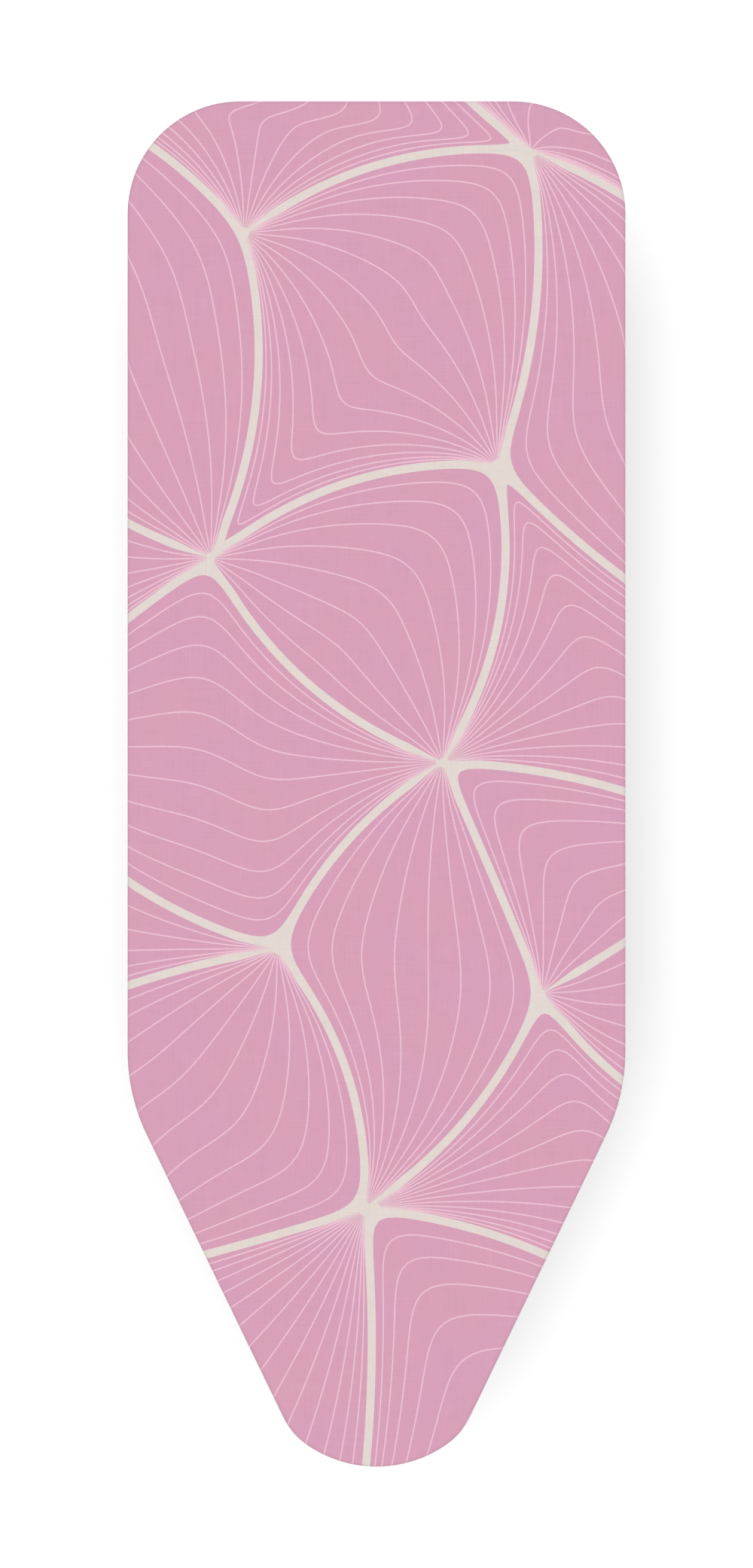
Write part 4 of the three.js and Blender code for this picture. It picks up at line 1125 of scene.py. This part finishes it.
class IRONING_OT_legs(bpy.types.Operator):
    """Draws the leg tubes, saddles them to the foot bars and braces, and welds them"""

    bl_idname = "ironing.legs"
    bl_label = "Legs"

    WELD_LIFT = 0.3  # share of a bead's radius by which its middle stands off both pieces

    def execute(self, context):
        s = frame_settings()
        for name in ("front", "rear"):
            leg = Leg(name)
            beads = []
            for side, sign in SIDES.items():
                self.side_tube(leg, f"{name}_leg_tube_{side}", sign, s)
                self.plug(leg, f"{name}_leg_plug_{side}", sign, s)
                self.cap(leg, f"{name}_foot_cap_{side}", s)
                beads.append(self.foot_bead(leg, sign, s))
                beads.append(self.brace_bead(leg, sign, s))
            self.brace(leg, s)
            straight_across(f"{name}_foot_bar", leg.bar_radius - s.tube_wall, s.sheet_rounding, 64)
            new_piece(f"{name}_leg_welds", *joined(beads), f"{name}_leg", "white_paint")
        return {"FINISHED"}

    def side_tube(self, leg, node, sign, s, sides=56):
        """A tube that is saddle cut round the foot bar, with its top end turned true."""
        top, edge = leg.top, s.sheet_rounding
        outer, inner = leg.tube_radius, leg.tube_radius - s.tube_wall
        profile = [(outer, 0), (outer, top - edge), (outer - edge, top),
                   (inner + edge, top), (inner, top - edge), (inner, 0)]
        rings = [circle(radius, z, sides) for radius, z in profile]
        for saddle in (rings[0], rings[-1]):
            saddle[:, 2] = leg.bar_z + np.sqrt(leg.bar_radius ** 2 - saddle[:, 1] ** 2)
        stand_in(node, skinned(rings, leg.on_tube(sign), True))

    def plug(self, leg, node, sign, s):
        """The plug in a tube's open end: a spigot and a low dome."""
        rim, shoulder, dome, spigot_length = 1.1 * MM, 2.1 * MM, 2.4 * MM, 5 * MM
        radius, seat, foot = leg.tube_radius, leg.top + CLEARANCE, leg.top - spigot_length
        spigot = radius - s.tube_wall - CLEARANCE
        profile = fillet([
            (0, foot), (spigot, foot), (spigot, seat), (radius, seat),
            (radius, seat + rim), (0.72 * radius, seat + shoulder), (0, seat + dome),
        ], s.edge_rounding)
        stand_in(node, turned(profile, leg.on_tube(sign)))

    def cap(self, leg, node, s):
        """A foot cap with grooves round its sleeve and a rounded end."""
        first_groove, grooves, depth, half_mouth, half_root = 5 * MM, 4, 0.7 * MM, 1 * MM, 0.4 * MM
        place, start, end = crosswise(node)
        radius, bore = half_height(node), leg.bar_radius + CLEARANCE
        dome, root = end - s.cap_dome, radius - depth
        outside = [(radius - 0.2 * MM, start)]
        for groove in range(grooves):
            middle = start + first_groove + s.cap_groove * groove
            outside += [(radius, middle - half_mouth), (root, middle - half_root),
                        (root, middle + half_root), (radius, middle + half_mouth)]
        turn = np.radians(np.linspace(0, 84, 12))
        nose = [(radius * math.cos(a) ** 0.55, dome + s.cap_dome * (0.25 + 0.75 * math.sin(a))) for a in turn]
        seat = dome + CLEARANCE
        inside = [(0, seat), (bore, seat), (bore, start + 0.5 * MM), (bore + 0.5 * MM, start)]
        profile = fillet(inside + outside, 0.4 * MM) + nose + [(0, end)]
        stand_in(node, turned(profile, place, sides=64), sharp=50)

    def brace_end(self, leg, sign, radius, lift=0.0, sides=56):
        """A ring round one end of the brace, cut to the side tube or lifted off it."""
        y, up, _ = circle(radius, sides=sides).T
        x = sign * (leg.tube_x - np.sqrt(leg.tube_radius ** 2 - y ** 2) - lift)
        return np.column_stack([x, y, leg.brace_z + up])

    def brace(self, leg, s):
        """A cross tube whose ends are cut to the side tubes."""
        outer, inner = leg.brace_radius, leg.brace_radius - s.tube_wall
        rings = [self.brace_end(leg, sign, radius)
                 for radius, sign in ((outer, -1), (outer, 1), (inner, 1), (inner, -1))]
        stand_in(f"{leg.name}_leg_brace", skinned(rings, leg.place, True))

    def foot_bead(self, leg, sign, s):
        """The weld round a tube where it meets the foot bar."""
        lift = self.WELD_LIFT * s.weld_radius
        line = circle(leg.tube_radius + lift, sides=96)
        beside = np.minimum(np.abs(line[:, 1]), leg.bar_radius * 0.97)
        line[:, 2] = leg.bar_z + np.sqrt(leg.bar_radius ** 2 - beside ** 2) + lift
        up = leg.place.to_3x3() @ UP
        return bead(placed(line, leg.on_tube(sign)), up, s.weld_radius, s.weld_ripple)

    def brace_bead(self, leg, sign, s):
        """The weld round one end of the brace."""
        lift = self.WELD_LIFT * s.weld_radius
        line = placed(self.brace_end(leg, sign, leg.brace_radius + lift, lift, 96), leg.place)
        return bead(line, Vector((1, 0, 0)), s.weld_radius, s.weld_ripple)


# ---------------------------------------------------------------- bolts, rods and grips

class IRONING_OT_hardware(bpy.types.Operator):
    """Turns the bolts, nuts, rivets, spacers, shaft and lock rod"""

    bl_idname = "ironing.hardware"
    bl_label = "Bolts, Spacers and Rods"

    def execute(self, context):
        s = frame_settings()
        shaft_bore, bolt_bore = half_height("slide_shaft") + CLEARANCE, s.bolt_radius + CLEARANCE
        for side in SIDES:
            self.cross_bolt(f"cross_bolt_{side}", s)
            self.sleeve(f"cross_spacer_{side}", bolt_bore, s)
            for node in ("outer_spacer", "inner_spacer", "shaft_nut"):
                self.sleeve(f"{node}_{side}", shaft_bore, s)
            place, start, end = crosswise(f"cross_nut_{side}")
            stand_in(f"cross_nut_{side}", hexagon(s.bolt_corner, start, end, place, bolt_bore))
            self.rivet(f"pivot_pin_{side}", s)
        for node in ("slide_shaft", "finger_bar"):
            straight_across(node, 0, s.edge_rounding)
        self.lock_rod(s)
        rod_bore = half_height("lock_rod") + CLEARANCE
        for end in ("nose", "tail"):
            low, high, middle = box_of(f"rod_nut_{end}")
            place = axis_place((middle.x, 0, middle.z), (0, 1, 0))
            stand_in(f"rod_nut_{end}", hexagon(s.rod_nut_corner, low.y, high.y, place, rod_bore))
        self.lever_pin(s)
        return {"FINISHED"}

    def lever_pin(self, s):
        low, high, middle = box_of("lever_pin")
        radius, head = s.lever_pin_radius, 2 * MM
        profile = fillet([
            (0, low.z), (radius, low.z), (radius, high.z - head), (2 * radius, high.z - head),
            (2 * radius, high.z - head / 2), (1.1 * radius, high.z), (0, high.z),
        ], s.edge_rounding)
        stand_in("lever_pin", turned(profile, axis_place((middle.x, middle.y, 0), (0, 0, 1))))

    def cross_bolt(self, node, s):
        place, start, end = crosswise(node)
        head = end - s.bolt_head
        shank = pipe(0, s.bolt_radius, start, head + MM, s.edge_rounding, place)
        stand_in(node, shank, hexagon(s.bolt_corner, head, end, place))

    def sleeve(self, node, bore, s):
        place, start, end = crosswise(node)
        stand_in(node, pipe(bore, half_height(node), start, end, s.edge_rounding, place))

    def rivet(self, node, s):
        low, high, middle = box_of(node)
        half, radius = (high.x - low.x) / 2, half_height(node)
        seat, shank = half - s.rivet_head, 0.57 * radius
        brim = seat + 0.6 * MM
        turn = np.radians(np.linspace(0, 90, 9))
        head = [(radius * math.cos(a), brim + (half - brim) * math.sin(a)) for a in turn]
        upper = [(shank, 0), (shank, seat), (radius, seat)] + head
        profile = [(r, -z) for r, z in reversed(upper)] + upper[1:]
        stand_in(node, turned(profile, axis_place(middle, (1, 0, 0))))

    def lock_rod(self, s):
        """A smooth rod with a rolled thread on each end for its nut."""
        low, high, middle = box_of("lock_rod")
        radius, thread, sides, rings_a_turn, point = half_height("lock_rod"), s.thread_length, 32, 7, 0.6 * MM
        angles = np.arange(sides) * 2 * math.pi / sides
        ends = np.arange(point, thread, s.thread_pitch / rings_a_turn)
        smooth = [low.y + thread + MM, high.y - thread - MM]
        rings = []
        for y in (*(low.y + ends), *smooth, *(high.y - ends[::-1])):
            depth = s.thread_depth if min(y - low.y, high.y - y) < thread else 0
            ridge = radius - depth * (0.5 + 0.5 * np.cos(angles - 2 * math.pi * y / s.thread_pitch))
            rings.append(circle(ridge, y, sides))
        tips = [np.column_stack([0.86 * ring[:, :2], np.full(sides, y)])
                for ring, y in ((rings[0], low.y), (rings[-1], high.y))]
        rings = [tips[0], *rings, tips[1]]
        stand_in("lock_rod", skinned(rings, axis_place((middle.x, 0, middle.z), (0, 1, 0))), sharp=60)


class IRONING_OT_spring(bpy.types.Operator):
    """Winds the lever's spring, which bends between the lever and the carriage"""

    bl_idname = "ironing.spring"
    bl_label = "Lever Spring"

    def execute(self, context):
        # Winds the lever's spring, which sits between the lever and the carriage
        s = frame_settings()
        low, high, middle = box_of("lever_spring")
        wire, steps = s.spring_wire, s.spring_turns * 36
        radius = (high.x - low.x) / 2 - wire
        turn = np.linspace(0, 2 * math.pi * s.spring_turns, steps + 1)
        # The end coils lie flat: the pitch eases in and out over most of a turn.
        share = np.linspace(0, 1, steps + 1)
        ease = np.clip(np.minimum(share, 1 - share) * s.spring_turns, 0.12, 1)
        rise = np.concatenate([[0], np.cumsum((ease[1:] + ease[:-1]) / 2)])
        along = low.y + wire + rise / rise[-1] * (high.y - low.y - 2 * wire)
        out = np.column_stack([np.cos(turn), 0 * turn, np.sin(turn)])
        line = out * radius + np.column_stack([0 * turn + middle.x, along, 0 * turn + middle.z])
        section = circle(wire, sides=10)
        rings = [spot + np.outer(section[:, 0], away) + np.outer(section[:, 1], (0, 1, 0))
                 for spot, away in zip(line, out)]
        skin = skinned(rings, Matrix.Identity(4))
        spring = new_piece("wound_spring", *skin, None, "zinc_steel", ["lever_spring"])
        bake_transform(spring)
        return {"FINISHED"}


class IRONING_OT_grips(bpy.types.Operator):
    """Moulds the two ridged grips of the height lever"""

    bl_idname = "ironing.grips"
    bl_label = "Lever Grips"

    def execute(self, context):
        s, plain_end, run_in, depth = frame_settings(), 8 * MM, 3 * MM, 0.07
        for node in ("lever_grip", "finger_bar_grip"):
            low, high, middle = box_of(node)
            along = np.linspace(low.x, high.x, 150)
            ends = np.minimum(along - low.x, high.x - along)
            rounding = np.sqrt(np.clip(1 - (1 - np.clip(ends / s.grip_rounding, 0, 1)) ** 2, 0.16, 1))
            ridges = 1 - depth * (0.5 + 0.5 * np.cos(2 * math.pi * (along - middle.x) / s.grip_ridge))
            ridged = np.clip((ends - plain_end) / run_in, 0, 1)
            profile = np.column_stack([half_height(node) * rounding * (1 - ridged + ridged * ridges), along])
            place = axis_place((0, middle.y, middle.z), (1, 0, 0))
            stand_in(node, turned(profile, place, sides=40), sharp=60)
        return {"FINISHED"}


# ---------------------------------------------------------------- stage

class IRONING_OT_stage(bpy.types.Operator):
    """Sets the floor, the light and the camera straight above the board"""

    bl_idname = "ironing.stage"
    bl_label = "Stage"

    def execute(self, context):
        s = stage_settings()
        self.floor(s)
        self.light(context, s)
        self.camera(context, s)
        context.scene.view_settings.view_transform = "Standard"
        return {"FINISHED"}

    def floor(self, s):
        half = 40.0
        corners = [(-half, -half, 0), (half, -half, 0), (half, half, 0), (-half, half, 0)]
        mesh = bpy.data.meshes.new("floor")
        mesh.from_pydata(corners, [], [(0, 1, 2, 3)])
        shader = Shader("pale_floor", s.floor_colour, 0.9)
        clouds = shader.noise(shader.place(), 3, 3)
        shader.link(shader.mix(clouds, s.floor_colour, tinted(s.floor_colour, 0.985)), "Base Color")
        mesh.materials.append(shader.material)
        add_object("floor", mesh)

    def light(self, context, s):
        world = bpy.data.worlds.new("studio")
        world.use_nodes = True
        sky = world.node_tree.nodes["Background"].inputs
        sky["Color"].default_value = (1, 1, 1, 1)
        sky["Strength"].default_value = s.sky_strength
        context.scene.world = world
        data = bpy.data.lights.new("key", "SUN")
        data.energy, data.angle = s.key_strength, s.key_softness
        lamp = add_object("key", data)
        lamp.location = (-0.4, 0.3, 3)
        lamp.rotation_euler = Vector((0.02, -0.02, -1)).to_track_quat("-Z", "Y").to_euler()

    def camera(self, context, s):
        data = bpy.data.cameras.new("camera")
        data.lens = data.sensor_width * s.camera_distance / s.view_height
        data.clip_end = 200
        camera = add_object("camera", data)
        camera.location = (0, 0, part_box("cover")[1].z + s.camera_distance)
        context.scene.camera = camera


# ---------------------------------------------------------------- panel and registering

OPERATORS = (
    IRONING_OT_stage, IRONING_OT_metalwork, IRONING_OT_rim, IRONING_OT_legs, IRONING_OT_hardware,
    IRONING_OT_spring, IRONING_OT_grips, IRONING_OT_pad, IRONING_OT_mesh, IRONING_OT_cover,
)
SETTINGS = {
    "ironing_cover": CoverSettings,
    "ironing_frame": FrameSettings,
    "ironing_stage": StageSettings,
}


class IRONING_PT_panel(bpy.types.Panel):
    """Lists the board's pieces and their settings"""

    bl_idname = "IRONING_PT_panel"
    bl_label = "Ironing Board"
    bl_space_type = "VIEW_3D"
    bl_region_type = "UI"
    bl_category = "Ironing Board"

    def draw(self, context):
        for operator in OPERATORS:
            self.layout.operator(operator.bl_idname)
        for group in SETTINGS:
            settings = getattr(context.scene, group)
            box = self.layout.box()
            for name in settings.__annotations__:
                box.prop(settings, name)


def register():
    for cls in (*SETTINGS.values(), *OPERATORS, IRONING_PT_panel):
        bpy.utils.register_class(cls)
    for name, cls in SETTINGS.items():
        setattr(bpy.types.Scene, name, bpy.props.PointerProperty(type=cls))


def unregister():
    for name in SETTINGS:
        delattr(bpy.types.Scene, name)
    for cls in reversed((*SETTINGS.values(), *OPERATORS, IRONING_PT_panel)):
        bpy.utils.unregister_class(cls)


def main():
    register()
    for operator in OPERATORS:
        getattr(bpy.ops.ironing, operator.bl_idname.split(".")[1])()


if __name__ == "__main__":
    main()
